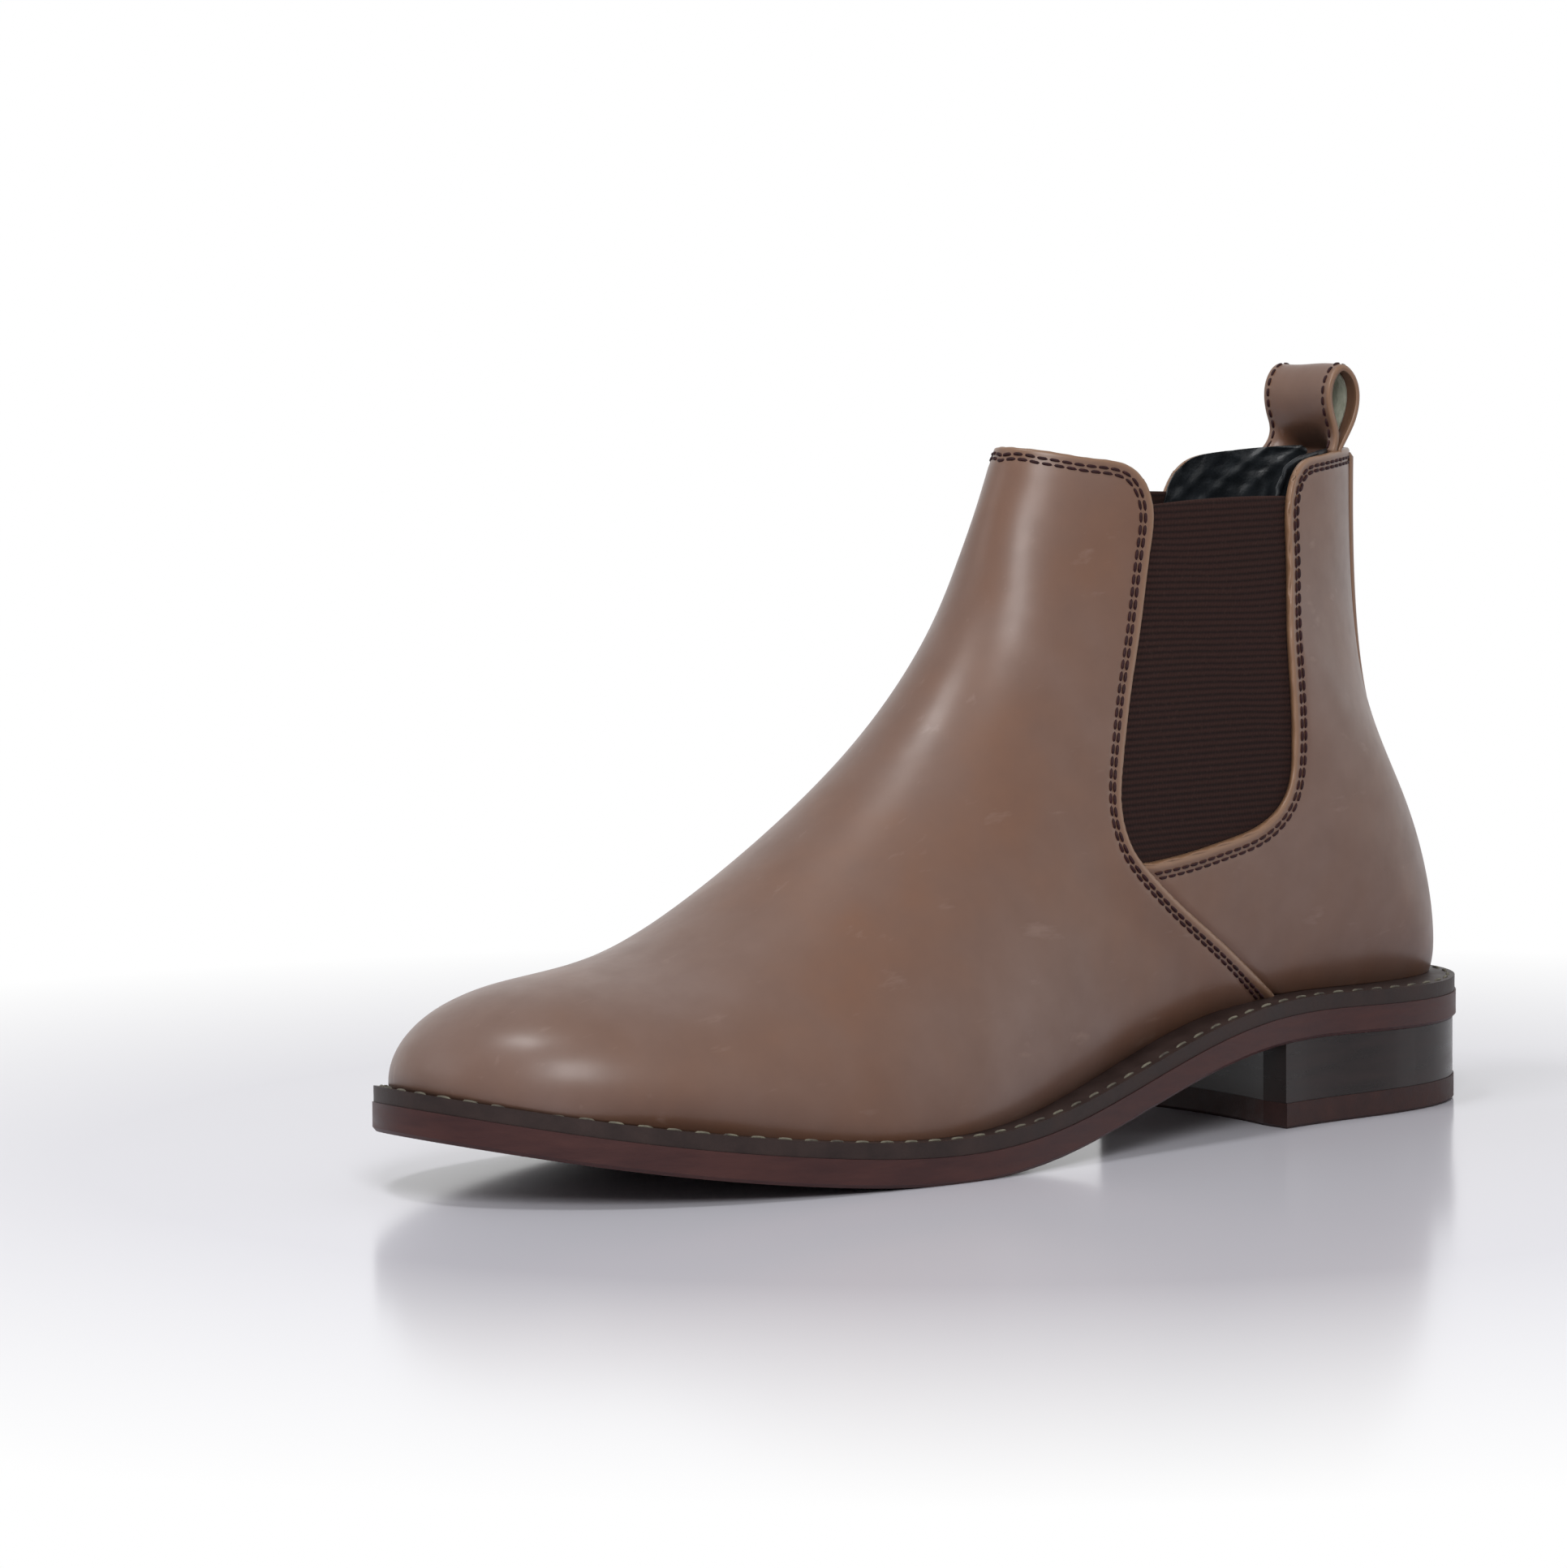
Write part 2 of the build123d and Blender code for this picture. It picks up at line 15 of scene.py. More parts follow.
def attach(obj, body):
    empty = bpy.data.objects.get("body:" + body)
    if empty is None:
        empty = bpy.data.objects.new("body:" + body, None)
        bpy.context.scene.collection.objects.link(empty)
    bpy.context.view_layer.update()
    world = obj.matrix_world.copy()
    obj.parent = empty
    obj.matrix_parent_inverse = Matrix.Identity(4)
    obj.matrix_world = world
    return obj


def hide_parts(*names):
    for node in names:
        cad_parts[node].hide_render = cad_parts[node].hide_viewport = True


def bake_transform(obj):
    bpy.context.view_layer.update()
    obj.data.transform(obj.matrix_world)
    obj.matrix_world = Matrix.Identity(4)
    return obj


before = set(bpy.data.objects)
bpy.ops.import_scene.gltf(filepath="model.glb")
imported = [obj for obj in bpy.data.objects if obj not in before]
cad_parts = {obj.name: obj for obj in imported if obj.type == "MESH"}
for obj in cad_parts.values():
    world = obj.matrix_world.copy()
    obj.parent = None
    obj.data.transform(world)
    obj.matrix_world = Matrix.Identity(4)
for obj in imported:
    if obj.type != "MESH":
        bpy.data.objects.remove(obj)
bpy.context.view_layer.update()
MM = 0.001

# ---- sizes shared with the solids, in millimetres ----
FEATHER = 10.0              # sole and welt together
HEEL_RISE = 20.0
LEATHER = 1.6
LINING_DEPTH = 3.0
SOCK_TOP = 3.8              # over the feather line
BACK_TOP = 157.0
SOLE_X = np.array([-150, -111, -72, -45, -20, 5, 30, 55, 80, 105, 130, 152.0])
SOLE_RISE = np.array([1.0, 1.0, 1.0, 0.8, 0.46, 0.15, 0, 0.02, 0.14, 0.31, 0.53, 0.76])
OUTLINE = np.array([
    (-150, 0), (-146.5, 14), (-136, 26), (-118, 33), (-85, 35), (-50, 40), (-15, 45),
    (30, 51), (65, 49.5), (95, 43), (120, 32), (138, 17.5), (148, 3), (150, -9),
    (146.5, -22), (134, -36), (112, -46), (80, -51), (45, -47), (12, -38), (-20, -31.5),
    (-55, -30), (-90, -32), (-120, -32), (-136, -26), (-146.5, -14)])
STATIONS = np.array([
    (138.5, -11.5, 100.0, -8.0, 30.0, 26.0, 0.62, 2.0, 2.2, -8.0),
    (146.0, 0.0, 92.0, -8.0, 36.5, 31.5, 0.68, 2.0, 2.4, -8.0),
    (140.0, 14.5, 83.0, -8.0, 42.0, 37.0, 0.70, 2.0, 2.7, -7.0),
    (120.0, 27.0, 70.0, -10.0, 46.0, 42.0, 0.72, 2.0, 3.0, -5.0),
    (88.0, 37.5, 54.0, -10.0, 49.0, 46.0, 0.73, 2.0, 3.2, -3.0),
    (53.5, 59.5, 30.0, -10.0, 48.0, 46.0, 0.74, 1.9, 3.2, -1.0),
    (21.5, 84.5, 0.0, -10.0, 42.0, 40.0, 0.74, 1.85, 3.0, 0.0),
    (1.0, 105.5, -35.0, -10.5, 36.0, 35.0, 0.72, 1.85, 2.9, 0.0),
    (-7.5, 120.5, -77.0, -11.5, 32.5, 32.5, 0.68, 1.9, 2.7, 0.0),
    (-11.5, 130.0, -130.0, -9.0, 30.5, 30.5, 0.62, 1.95, 2.4, 0.0),
    (-14.5, 136.5, -147.0, 3.0, 29.0, 29.0, 0.58, 2.0, 2.1, 0.0),
    (-17.5, 142.5, -142.5, 32.0, 27.0, 27.0, 0.55, 2.0, 1.85, 0.0),
    (-22.0, 148.0, -127.0, 70.0, 25.0, 25.0, 0.52, 2.0, 1.7, 0.0),
    (-28.0, 159.0, -124.0, 120.0, 23.0, 23.0, 0.50, 2.0, 1.6, 0.0),
    (-31.0, 165.0, -125.0, 140.0, 22.5, 22.5, 0.50, 2.0, 1.6, 0.0)])
VAMP_EDGE = np.array([
    (-17, 159.9), (-20, 159.5), (-30, 157.5), (-40, 154.8), (-44, 147.5), (-42.4, 135), (-38.7, 120.5),
    (-33, 105), (-27.3, 88), (-25, 76), (-26.8, 68.5), (-31, 63.4), (-37.5, 57.5),
    (-55, 44.7), (-68, 35.7), (-83, 26.5), (-98, 17)])
QUARTER_EDGE = np.array([
    (-127, 157), (-113, 156.8), (-100, 156), (-91, 154), (-86.6, 148.5), (-84.8, 134), (-82.6, 115),
    (-82.1, 103), (-80.8, 86), (-77.6, 77), (-70, 71), (-57.8, 67.7), (-44.8, 65.5),
    (-28, 64), (-22, 63.6)])
VAMP_CORNER = (-42.6, 152.4)
QUARTER_CORNER = (-88.6, 152.0)
LAP = 6.0                   # quarter hidden under the vamp
ROLL = 0.8                  # rounding of a cut leather edge
LIFT = 0.9                  # vamp's edge over the quarter along the seam
STITCH_ROWS = (2.1, 3.3)    # thread lines in from a leather edge
FURROW = 0.28               # depth of the channel that the thread has pulled in
ELASTIC_LAP = 6.0
ELASTIC_DEPTH = 1.7
ELASTIC_THICK = 1.1
RIB = 1.5                   # rib spacing of the elastic


def spline_matrix(knots):
    """Second derivatives of a natural cubic through the knots, as a matrix."""
    count = len(knots)
    step = np.diff(knots)
    left = np.eye(count)
    right = np.zeros((count, count))
    i = np.arange(1, count - 1)
    left[i, i - 1] = step[:-1]
    left[i, i] = 2 * (step[:-1] + step[1:])
    left[i, i + 1] = step[1:]
    right[i, i - 1] = 6 / step[:-1]
    right[i, i] = -6 / step[:-1] - 6 / step[1:]
    right[i, i + 1] = 6 / step[1:]
    return np.linalg.solve(left, right)


def spline(knots, values, at):
    """Natural cubic curve through values at knots, read at the places given."""
    knots = np.asarray(knots, float)
    values = np.asarray(values, float)
    at = np.asarray(at, float)
    bend = spline_matrix(knots) @ values
    k = np.clip(np.searchsorted(knots, at, side="right") - 1, 0, len(knots) - 2)
    h = knots[k + 1] - knots[k]
    t = (at - knots[k]) / h
    if values.ndim > 1:
        t = t[:, None]
        h = h[:, None]
    s = 1 - t
    curve = s * values[k] + t * values[k + 1]
    return curve + h * h * ((s ** 3 - s) * bend[k] + (t ** 3 - t) * bend[k + 1]) / 6


def underside(x):
    """Height of the outsole's underside over the floor at x."""
    return HEEL_RISE * spline(SOLE_X, SOLE_RISE, x)


TABLE = STATIONS.copy()
TABLE[:, 1] += underside(STATIONS[:, 0]) + FEATHER
TABLE[:, 3] += underside(STATIONS[:, 2]) + FEATHER
KNOTS = np.arange(len(TABLE))
ANGLES = np.linspace(0, math.pi, 11)
OVER = 3                    # places mirrored past either end, so that the curve runs on smoothly
ANGLE_BEND = spline_matrix(np.arange(len(ANGLES) + 2 * OVER) * ANGLES[1])


def stations(t, depth):
    """Station rows at t, with the front and back points and the widths moved in by depth."""
    row = spline(KNOTS, TABLE, t)
    slope = spline(KNOTS, TABLE, t + 0.001) - spline(KNOTS, TABLE, t - 0.001)
    for x, z, side in ((0, 1, 1), (2, 3, -1)):
        length = np.hypot(slope[:, x], slope[:, z])
        row[:, x] -= side * depth * slope[:, z] / length
        row[:, z] += side * depth * slope[:, x] / length
    row[:, 4:6] -= depth[:, None]
    return row


def along(values, angle):
    """Cubic over ANGLES through each row's values, read at that row's angle."""
    bend = values @ ANGLE_BEND.T
    step = ANGLES[1]
    k = np.clip((angle / step).astype(int), 0, len(ANGLES) - 2)[:, None]
    t = angle / step - k[:, 0]
    s = 1 - t
    k = k + OVER
    low, high = (np.take_along_axis(values, k + i, 1)[:, 0] for i in (0, 1))
    bend_low, bend_high = (np.take_along_axis(bend, k + i, 1)[:, 0] for i in (0, 1))
    return s * low + t * high + step ** 2 * ((s ** 3 - s) * bend_low + (t ** 3 - t) * bend_high) / 6


def section(row):
    """Share of the way from front to back, and share of the half width, at each of ANGLES. The
    first runs on evenly past both ends and the second changes sign there."""
    widest, full0, full1 = row[:, 6:7], row[:, 7:8], row[:, 8:9]
    full = np.where(ANGLES <= math.pi / 2, full0, full1)
    run = np.abs(np.cos(ANGLES)) ** (2 / full)
    across = np.abs(np.sin(ANGLES)) ** (2 / full)
    across[:, 0] = 0
    across[:, -1] = 0
    share = np.where(ANGLES <= math.pi / 2, widest * (1 - run), widest + (1 - widest) * run)
    return mirror_ends(share, 1), mirror_ends(across, -1)


def mirror_ends(values, sign):
    """Rows of values with a few of them mirrored past either end."""
    return np.hstack((sign * values[:, OVER:0:-1], values, sign * values[:, -2:-2 - OVER:-1]))


def skin(t, a, depth=0.0):
    """Point of the upper at station t and angle a, depth inside its surface: the front and back
    points of the station, joined by a rounded section whose width is read at a."""
    t, a, depth = np.broadcast_arrays(np.asarray(t, float), a, depth)
    shape = t.shape
    t, a, depth = t.ravel(), a.ravel(), depth.ravel()
    row = stations(t, depth)
    share, across = section(row)
    angle = np.clip(np.abs(a), 0, math.pi)
    s = along(share, angle)
    w = along(across, angle)
    x = row[:, 0] + (row[:, 2] - row[:, 0]) * s
    z = row[:, 1] + (row[:, 3] - row[:, 1]) * s
    y = row[:, 9] + np.where(a >= 0, row[:, 4], -row[:, 5]) * w
    return np.stack((x, y, z), -1).reshape(shape + (3,))


def locate(points):
    """Chart place (t, a) of each side-view point (x, z) of the outer half, found by halving."""
    points = np.atleast_2d(points)
    x, z = points[:, 0], points[:, 1]
    low, high = np.full(len(x), 0.4), np.full(len(x), 13.99)
    for _ in range(40):
        t = (low + high) / 2
        row = spline(KNOTS, TABLE, t)
        side = (row[:, 2] - row[:, 0]) * (z - row[:, 1]) - (row[:, 3] - row[:, 1]) * (x - row[:, 0])
        high = np.where(side > 0, t, high)
        low = np.where(side > 0, low, t)
    row = spline(KNOTS, TABLE, t)
    run = row[:, 2:4] - row[:, 0:2]
    want = ((x - row[:, 0]) * run[:, 0] + (z - row[:, 1]) * run[:, 1]) / (run ** 2).sum(1)
    share, _ = section(row)
    low, high = np.zeros(len(x)), np.full(len(x), math.pi)
    for _ in range(40):
        a = (low + high) / 2
        over = along(share, a) > want
        high = np.where(over, a, high)
        low = np.where(over, low, a)
    return np.stack((t, a), -1)


def smooth(points, count):
    """Smooth curve through the points, spaced by their distance."""
    points = np.asarray(points, float)
    knots = np.r_[0, np.cumsum(np.hypot(*np.diff(points, axis=0).T))]
    return spline(knots, points, np.linspace(0, knots[-1], count))


def grown(points, distance):
    """Curve moved sideways by distance, to the left of its run."""
    run = np.gradient(points, axis=0)
    return points + distance * np.c_[-run[:, 1], run[:, 0]] / np.hypot(*run.T)[:, None]


def lengths(points):
    """Distance run so far along a line of points."""
    return np.r_[0, np.cumsum(np.linalg.norm(np.diff(points, axis=0), axis=1))]


def even(places, count=240):
    """Chart line re-read at equal steps of its true length over the skin."""
    run = lengths(skin(places[:, 0], places[:, 1]))
    at = np.linspace(0, run[-1], count)
    return np.stack([np.interp(at, run, places[:, i]) for i in (0, 1)], -1)


def patch(bottom, top, left, right, s, w):
    """Coons patch in the chart: opposite sides are blended and the corners' share taken off."""
    s, w = np.meshgrid(s, w)
    u = np.linspace(0, 1, len(bottom))

    def read(side, at):
        return np.stack([np.interp(at, u, side[:, i]) for i in (0, 1)], -1)

    S, W = s[..., None], w[..., None]
    edges = (1 - W) * read(bottom, s) + W * read(top, s) + (1 - S) * read(left, w) + S * read(right, w)
    corners = ((1 - S) * (1 - W) * bottom[0] + S * (1 - W) * bottom[-1]
               + (1 - S) * W * top[0] + S * W * top[-1])
    place = edges - corners
    return place[..., 0], place[..., 1]


def feather_line(x, drop=0.3):
    """Chart line where the upper meets the welt."""
    return locate(np.c_[x, underside(x) + FEATHER - drop])


def centre_line(height, a, low=0.5, high=13.9):
    """Station at which the front (a = 0) or back (a = pi) line reaches a height over the floor."""
    t = np.linspace(low, high, 2000)
    z = skin(t, np.full(2000, a))[:, 2]
    return float(np.interp(height, z, t))


def split_at(line, corner):
    """Cut a side-view line at its point nearest to a corner."""
    near = int(np.argmin(np.hypot(*(line - corner).T)))
    return line[:near + 1], line[near:]


def vamp_sides(shift=0.0, fall=0.0):
    """Chart sides of the vamp's outer half: feather line, topline, front centre line and the edge
    along seam and elastic. shift moves the edge back and fall lowers the topline."""
    line = grown(smooth(VAMP_EDGE, 400), -shift)
    line = line[line[:, 1] > underside(line[:, 0]) + FEATHER - 0.3]
    over, edge = split_at(line, VAMP_CORNER)
    over = over - (0, fall)
    top = locate(over)
    top[0, 1] = 0.0
    right = locate(edge[::-1])
    right[-1] = top[-1]
    end = edge[-1, 0]
    x = 146.0 + (end - 146.0) * np.linspace(0, 1, 400) ** 1.7
    bottom = feather_line(x)
    bottom[0, 1] = 0.0
    right[0] = bottom[-1]
    left = np.stack((np.linspace(bottom[0, 0], top[0, 0], 400), np.zeros(400)), -1)
    return [even(side) for side in (bottom, top, left, right)]


def quarter_sides(shift=0.0, fall=0.0, lap=LAP):
    """Chart sides of the outer quarter: feather line, topline, back seam, and the edge that runs up
    under the vamp and round the elastic. shift moves the edge towards the elastic."""
    line = grown(smooth(QUARTER_EDGE, 400), shift)
    over, edge = split_at(line, QUARTER_CORNER)
    over = over - (0, fall)
    seam = grown(smooth(VAMP_EDGE, 400), lap)
    seam = seam[(seam[:, 1] > underside(seam[:, 0]) + FEATHER - 0.3) & (seam[:, 1] < 60.5)]
    edge = edge[edge[:, 0] < seam[0, 0] + 1.5]
    tip = np.linspace(seam[0], edge[-1], 12)[1:-1]
    right = locate(np.vstack((seam[::-1], tip, edge[::-1])))
    back = np.full(400, math.pi)
    foot = centre_line(underside(np.array([-147.0]))[0] + FEATHER - 0.3, math.pi, 9.3)
    crown = centre_line(BACK_TOP - fall, math.pi, 11.0)
    left = np.stack((np.linspace(foot, crown, 400), back), -1)
    x = np.linspace(-146.6, seam[-1, 0], 400)
    bottom = feather_line(x)
    bottom[0] = left[0]
    bottom[-1] = right[0]
    top = locate(over)
    top = np.vstack((left[-1], top[top[:, 1] < math.pi - 0.02]))
    right[-1] = top[-1]
    return [even(side) for side in (bottom, top, left, right)]


def nearest(points, line):
    """Distance from each grid point to a line of points."""
    flat = points.reshape(-1, 3)
    best = np.full(len(flat), 1e9)
    for k in range(0, len(line), 40):
        gap = np.linalg.norm(flat[:, None] - line[None, k:k + 40], axis=2).min(1)
        best = np.minimum(best, gap)
    return best.reshape(points.shape[:-1])


def wall(name, outer, inner, values=None):
    """Closed mesh of two matching grids and the rim between them; faces look away from inner."""
    rows, cols = outer.shape[:2]
    count = rows * cols
    index = np.arange(count).reshape(rows, cols)
    quads = np.stack((index[:-1, :-1], index[:-1, 1:], index[1:, 1:], index[1:, :-1]), -1).reshape(-1, 4)
    ring = np.r_[index[0, :-1], index[:-1, -1], index[-1, :0:-1], index[:0:-1, 0]]
    after = np.roll(ring, -1)
    rim = np.stack((after, ring, ring + count, after + count), -1)
    faces = np.vstack((quads, quads[:, ::-1] + count, rim))
    points = np.vstack((outer.reshape(-1, 3), inner.reshape(-1, 3)))
    a, b, c = (outer[:-1, :-1], outer[:-1, 1:], outer[1:, :-1])
    facing = (np.cross(b - a, c - a) * (outer - inner)[:-1, :-1]).sum()
    if facing < 0:
        faces = faces[:, ::-1]
    mesh = make_mesh(name, points, faces)
    if values is not None:
        for key, value in values.items():
            layer = mesh.attributes.new(key, "FLOAT", "POINT")
            layer.data.foreach_set("value", np.tile(value.ravel(), 2).astype(np.float32))
    return mesh


def make_mesh(name, points, faces):
    """Mesh of points in millimetres and faces of equal or mixed size, shaded smooth."""
    mesh = bpy.data.meshes.new(name)
    faces = faces.tolist() if hasattr(faces, "tolist") else faces
    mesh.from_pydata((np.asarray(points) * MM).tolist(), [], faces)
    mesh.polygons.foreach_set("use_smooth", np.ones(len(mesh.polygons), bool))
    mesh.update()
    return mesh


def add(name, mesh, material):
    """Object for a finished mesh, at the origin, with its material and slot."""
    piece = bpy.data.objects.new(name, mesh)
    bpy.context.scene.collection.objects.link(piece)
    mesh.materials.append(material)
    return piece


# ---- materials ----

def colour(code):
    """Linear colour of an sRGB hex value."""
    channels = [int(code[i:i + 2], 16) / 255 for i in (1, 3, 5)]
    return [c / 12.92 if c <= 0.04045 else ((c + 0.055) / 1.055) ** 2.4 for c in channels] + [1.0]


def put(tree, kind, settings=(), **links):
    """Add one node: settings are attributes or input values, links are output sockets to join."""
    node = tree.nodes.new(kind)
    for key, value in dict(settings).items():
        if hasattr(node, str(key)) and not isinstance(key, int):
            setattr(node, key, value)
        else:
            node.inputs[key].default_value = value
    for key, socket in links.items():
        place = int(key[1:]) if key[0] == "i" and key[1:].isdigit() else key.replace("_", " ")
        tree.links.new(socket, node.inputs[place])
    return node


def fresh(name):
    """Empty node material with its output and shader."""
    material = bpy.data.materials.new(name)
    material.use_nodes = True
    tree = material.node_tree
    tree.nodes.clear()
    out = tree.nodes.new("ShaderNodeOutputMaterial")
    shader = tree.nodes.new("ShaderNodeBsdfPrincipled")
    tree.links.new(shader.outputs[0], out.inputs[0])
    return material, tree, shader


def ramp(tree, factor, stops):
    """Colour ramp over a factor; stops are (place, hex colour)."""
    node = tree.nodes.new("ShaderNodeValToRGB")
    tree.links.new(factor, node.inputs[0])
    marks = node.color_ramp.elements
    while len(marks) < len(stops):
        marks.new(0.5)
    for mark, (place, code) in zip(marks, stops):
        mark.position = place
        mark.color = colour(code)
    return node.outputs[0]


def noise(tree, coords, size, detail=4.0, stretch=None, roughness=0.55):
    """Noise whose blobs are about size millimetres across."""
    if stretch:
        coords = put(tree, "ShaderNodeMapping", {"Scale": stretch}, Vector=coords).outputs[0]
    settings = {"Scale": 1000.0 / size, "Detail": detail, "Roughness": roughness}
    return put(tree, "ShaderNodeTexNoise", settings, Vector=coords).outputs[0]


def blend_colour(tree, factor, a, b, mode="MIX"):
    """Mix of two colours by a factor socket or number."""
    node = tree.nodes.new("ShaderNodeMix")
    node.data_type = "RGBA"
    node.blend_type = mode
    for place, value in ((0, factor), (6, a), (7, b)):
        if hasattr(value, "is_output"):
            tree.links.new(value, node.inputs[place])
        else:
            node.inputs[place].default_value = value
    return node.outputs[2]


def spread(tree, value, low, high, to_low=0.0, to_high=1.0):
    """Map a value's range onto another, held at the ends."""
    settings = {1: low, 2: high, 3: to_low, 4: to_high}
    node = tree.nodes.new("ShaderNodeMapRange")
    for key, number in settings.items():
        node.inputs[key].default_value = number
    tree.links.new(value, node.inputs[0])
    return node.outputs[0]


def bumped(tree, shader, layers):
    """Chain of bumps; each layer is (height socket, strength, depth in millimetres)."""
    normal = None
    for height, strength, depth in layers:
        node = put(tree, "ShaderNodeBump", {"Strength": strength, "Distance": depth * MM}, Height=height)
        if normal is not None:
            tree.links.new(normal, node.inputs["Normal"])
        normal = node.outputs[0]
    tree.links.new(normal, shader.inputs["Normal"])


def calf_leather(name="calf_waxed_taupe", margins=True):
    """Waxed full-grain calf: taupe brown with warmer clouds where the wax is thin, a soft broad
    shine, pores too fine to see one by one, hair scuffs, and paler tan along the cut edges."""
    material, tree, shader = fresh(name)
    coords = tree.nodes.new("ShaderNodeTexCoord").outputs["Object"]
    cloud = noise(tree, coords, 42.0, 3.0, (1.0, 1.0, 0.8))
    mottle = noise(tree, coords, 9.0, 5.0)
    pores = noise(tree, coords, 1.1, 3.0)
    tone = ramp(tree, cloud, [(0.28, "#6f4a34"), (0.50, "#6d4f40"), (0.72, "#72584d")])
    tone = blend_colour(tree, spread(tree, mottle, 0.35, 0.75, 0.0, 0.35), tone, colour("#5b4034"))
    scuff = noise(tree, coords, 5.0, 6.0, (0.25, 1.6, 1.0))
    tone = blend_colour(tree, spread(tree, scuff, 0.64, 0.76, 0.0, 0.4), tone, colour("#8a7064"))
    if margins:
        edge = put(tree, "ShaderNodeAttribute", {"attribute_name": "edge"}).outputs["Fac"]
        tone = blend_colour(tree, spread(tree, edge, 4.6, 0.8, 0.0, 0.45), tone, colour("#7d5c44"))
        tone = blend_colour(tree, spread(tree, edge, 1.3, 0.0, 0.0, 0.75), tone, colour("#8f6c50"))
    tree.links.new(tone, shader.inputs["Base Color"])
    shine = spread(tree, mottle, 0.3, 0.8, 0.38, 0.5)
    tree.links.new(shine, shader.inputs["Roughness"])
    shader.inputs["Specular IOR Level"].default_value = 0.42
    shader.inputs["Coat Weight"].default_value = 0.28
    shader.inputs["Coat Roughness"].default_value = 0.27
    wave = noise(tree, coords, 14.0, 2.0)
    bumped(tree, shader, [(wave, 0.22, 0.5), (mottle, 0.10, 0.25), (pores, 0.14, 0.06)])
    return material


def thread():
    """Waxed polyester thread, dark burgundy with a fine twist."""
    material, tree, shader = fresh("thread_waxed_burgundy")
    coords = tree.nodes.new("ShaderNodeTexCoord").outputs["Object"]
    twist = noise(tree, coords, 0.5, 2.0)
    tree.links.new(ramp(tree, twist, [(0.3, "#1c0a0c"), (0.7, "#351518")]), shader.inputs["Base Color"])
    shader.inputs["Roughness"].default_value = 0.6
    shader.inputs["Specular IOR Level"].default_value = 0.2
    bumped(tree, shader, [(twist, 0.4, 0.1)])
    return material


def welt_thread():
    """Pale grey-green linen thread, rubbed dirty."""
    material, tree, shader = fresh("thread_linen_grey")
    coords = tree.nodes.new("ShaderNodeTexCoord").outputs["Object"]
    dirt = noise(tree, coords, 4.0, 3.0)
    tree.links.new(ramp(tree, dirt, [(0.35, "#3a332d"), (0.65, "#7a7666")]), shader.inputs["Base Color"])
    shader.inputs["Roughness"].default_value = 0.75
    bumped(tree, shader, [(noise(tree, coords, 0.6, 2.0), 0.4, 0.1)])
    return material


def elastic():
    """Woven elastic: dark brown ribs across the boot with fine warp threads between, matt; a darker stripe
    along each rib is painted shade for its groove.
    """
    material, tree, shader = fresh("elastic_ribbed_dark_brown")
    uv = put(tree, "ShaderNodeUVMap", {"uv_map": "weave"}).outputs[0]
    parts = put(tree, "ShaderNodeSeparateXYZ", {}, Vector=uv)
    rib = put(tree, "ShaderNodeMath", {"operation": "MULTIPLY", 1: 2 * math.pi / RIB}, i0=parts.outputs[1])
    rib = put(tree, "ShaderNodeMath", {"operation": "SINE"}, i0=rib.outputs[0])
    warp = put(tree, "ShaderNodeMath", {"operation": "MULTIPLY", 1: 2 * math.pi / 0.9}, i0=parts.outputs[0])
    warp = put(tree, "ShaderNodeMath", {"operation": "SINE"}, i0=warp.outputs[0])
    coords = tree.nodes.new("ShaderNodeTexCoord").outputs["Object"]
    fuzz = noise(tree, coords, 0.7, 4.0)
    # Painted shade: the ramp darkens a stripe of each rib towards near black, where its groove would lie in
    # shade.
    tone = ramp(tree, spread(tree, rib.outputs[0], -1, 1),
                [(0.0, "#1c1211"), (0.5, "#2f1f1c"), (1.0, "#3a2723")])
    tone = blend_colour(tree, spread(tree, warp.outputs[0], -1, 1, 0.0, 0.3), tone, colour("#241614"))
    tone = blend_colour(tree, spread(tree, fuzz, 0.55, 0.8, 0.0, 0.4), tone, colour("#46322c"))
    tree.links.new(tone, shader.inputs["Base Color"])
    shader.inputs["Roughness"].default_value = 0.9
    shader.inputs["Specular IOR Level"].default_value = 0.15
    bumped(tree, shader, [(warp.outputs[0], 0.25, 0.08), (fuzz, 0.3, 0.08)])
    return material


def plain(name, code, code2, size, roughness, depth=0.05, strength=0.2, coat=0.0, stretch=None, metallic=0.0,
          shine=0.25):
    """Two-tone mottled finish with a fine bump, for the simpler made surfaces."""
    material, tree, shader = fresh(name)
    coords = tree.nodes.new("ShaderNodeTexCoord").outputs["Object"]
    spots = noise(tree, coords, size, 5.0, stretch)
    fine = noise(tree, coords, size / 8, 3.0, stretch)
    tone = ramp(tree, spots, [(0.32, code), (0.68, code2)])
    tree.links.new(tone, shader.inputs["Base Color"])
    rough = spread(tree, spots, 0.3, 0.7, roughness - 0.05, roughness + 0.07)
    tree.links.new(rough, shader.inputs["Roughness"])
    shader.inputs["Coat Weight"].default_value = coat
    shader.inputs["Metallic"].default_value = metallic
    shader.inputs["Specular IOR Level"].default_value = 0.5 if metallic else shine
    bumped(tree, shader, [(spots, strength, depth * 3), (fine, strength, depth)])
    return material


# Waxed calf, taupe brown: a soft broad sheen over faint mottling and scuffs.
CALF = calf_leather()
# The same calf for the loop and the tab inside the mouth.
CALF_LOOP = calf_leather("calf_waxed_taupe_loop")
# Dark brown thread of the upper, dull, and the paler waxed thread of the welt.
THREAD = thread()
WELT_THREAD = welt_thread()
# Ribbed elastic, almost black brown and matt, with painted shade in a darker stripe along each rib's groove.
ELASTIC = elastic()
# Black glazed sheep lining: almost black with small bright creases.
LINING = plain("sheep_lining_black", "#14171a", "#23272b", 5.0, 0.42, 0.12, 0.5, 0.1)
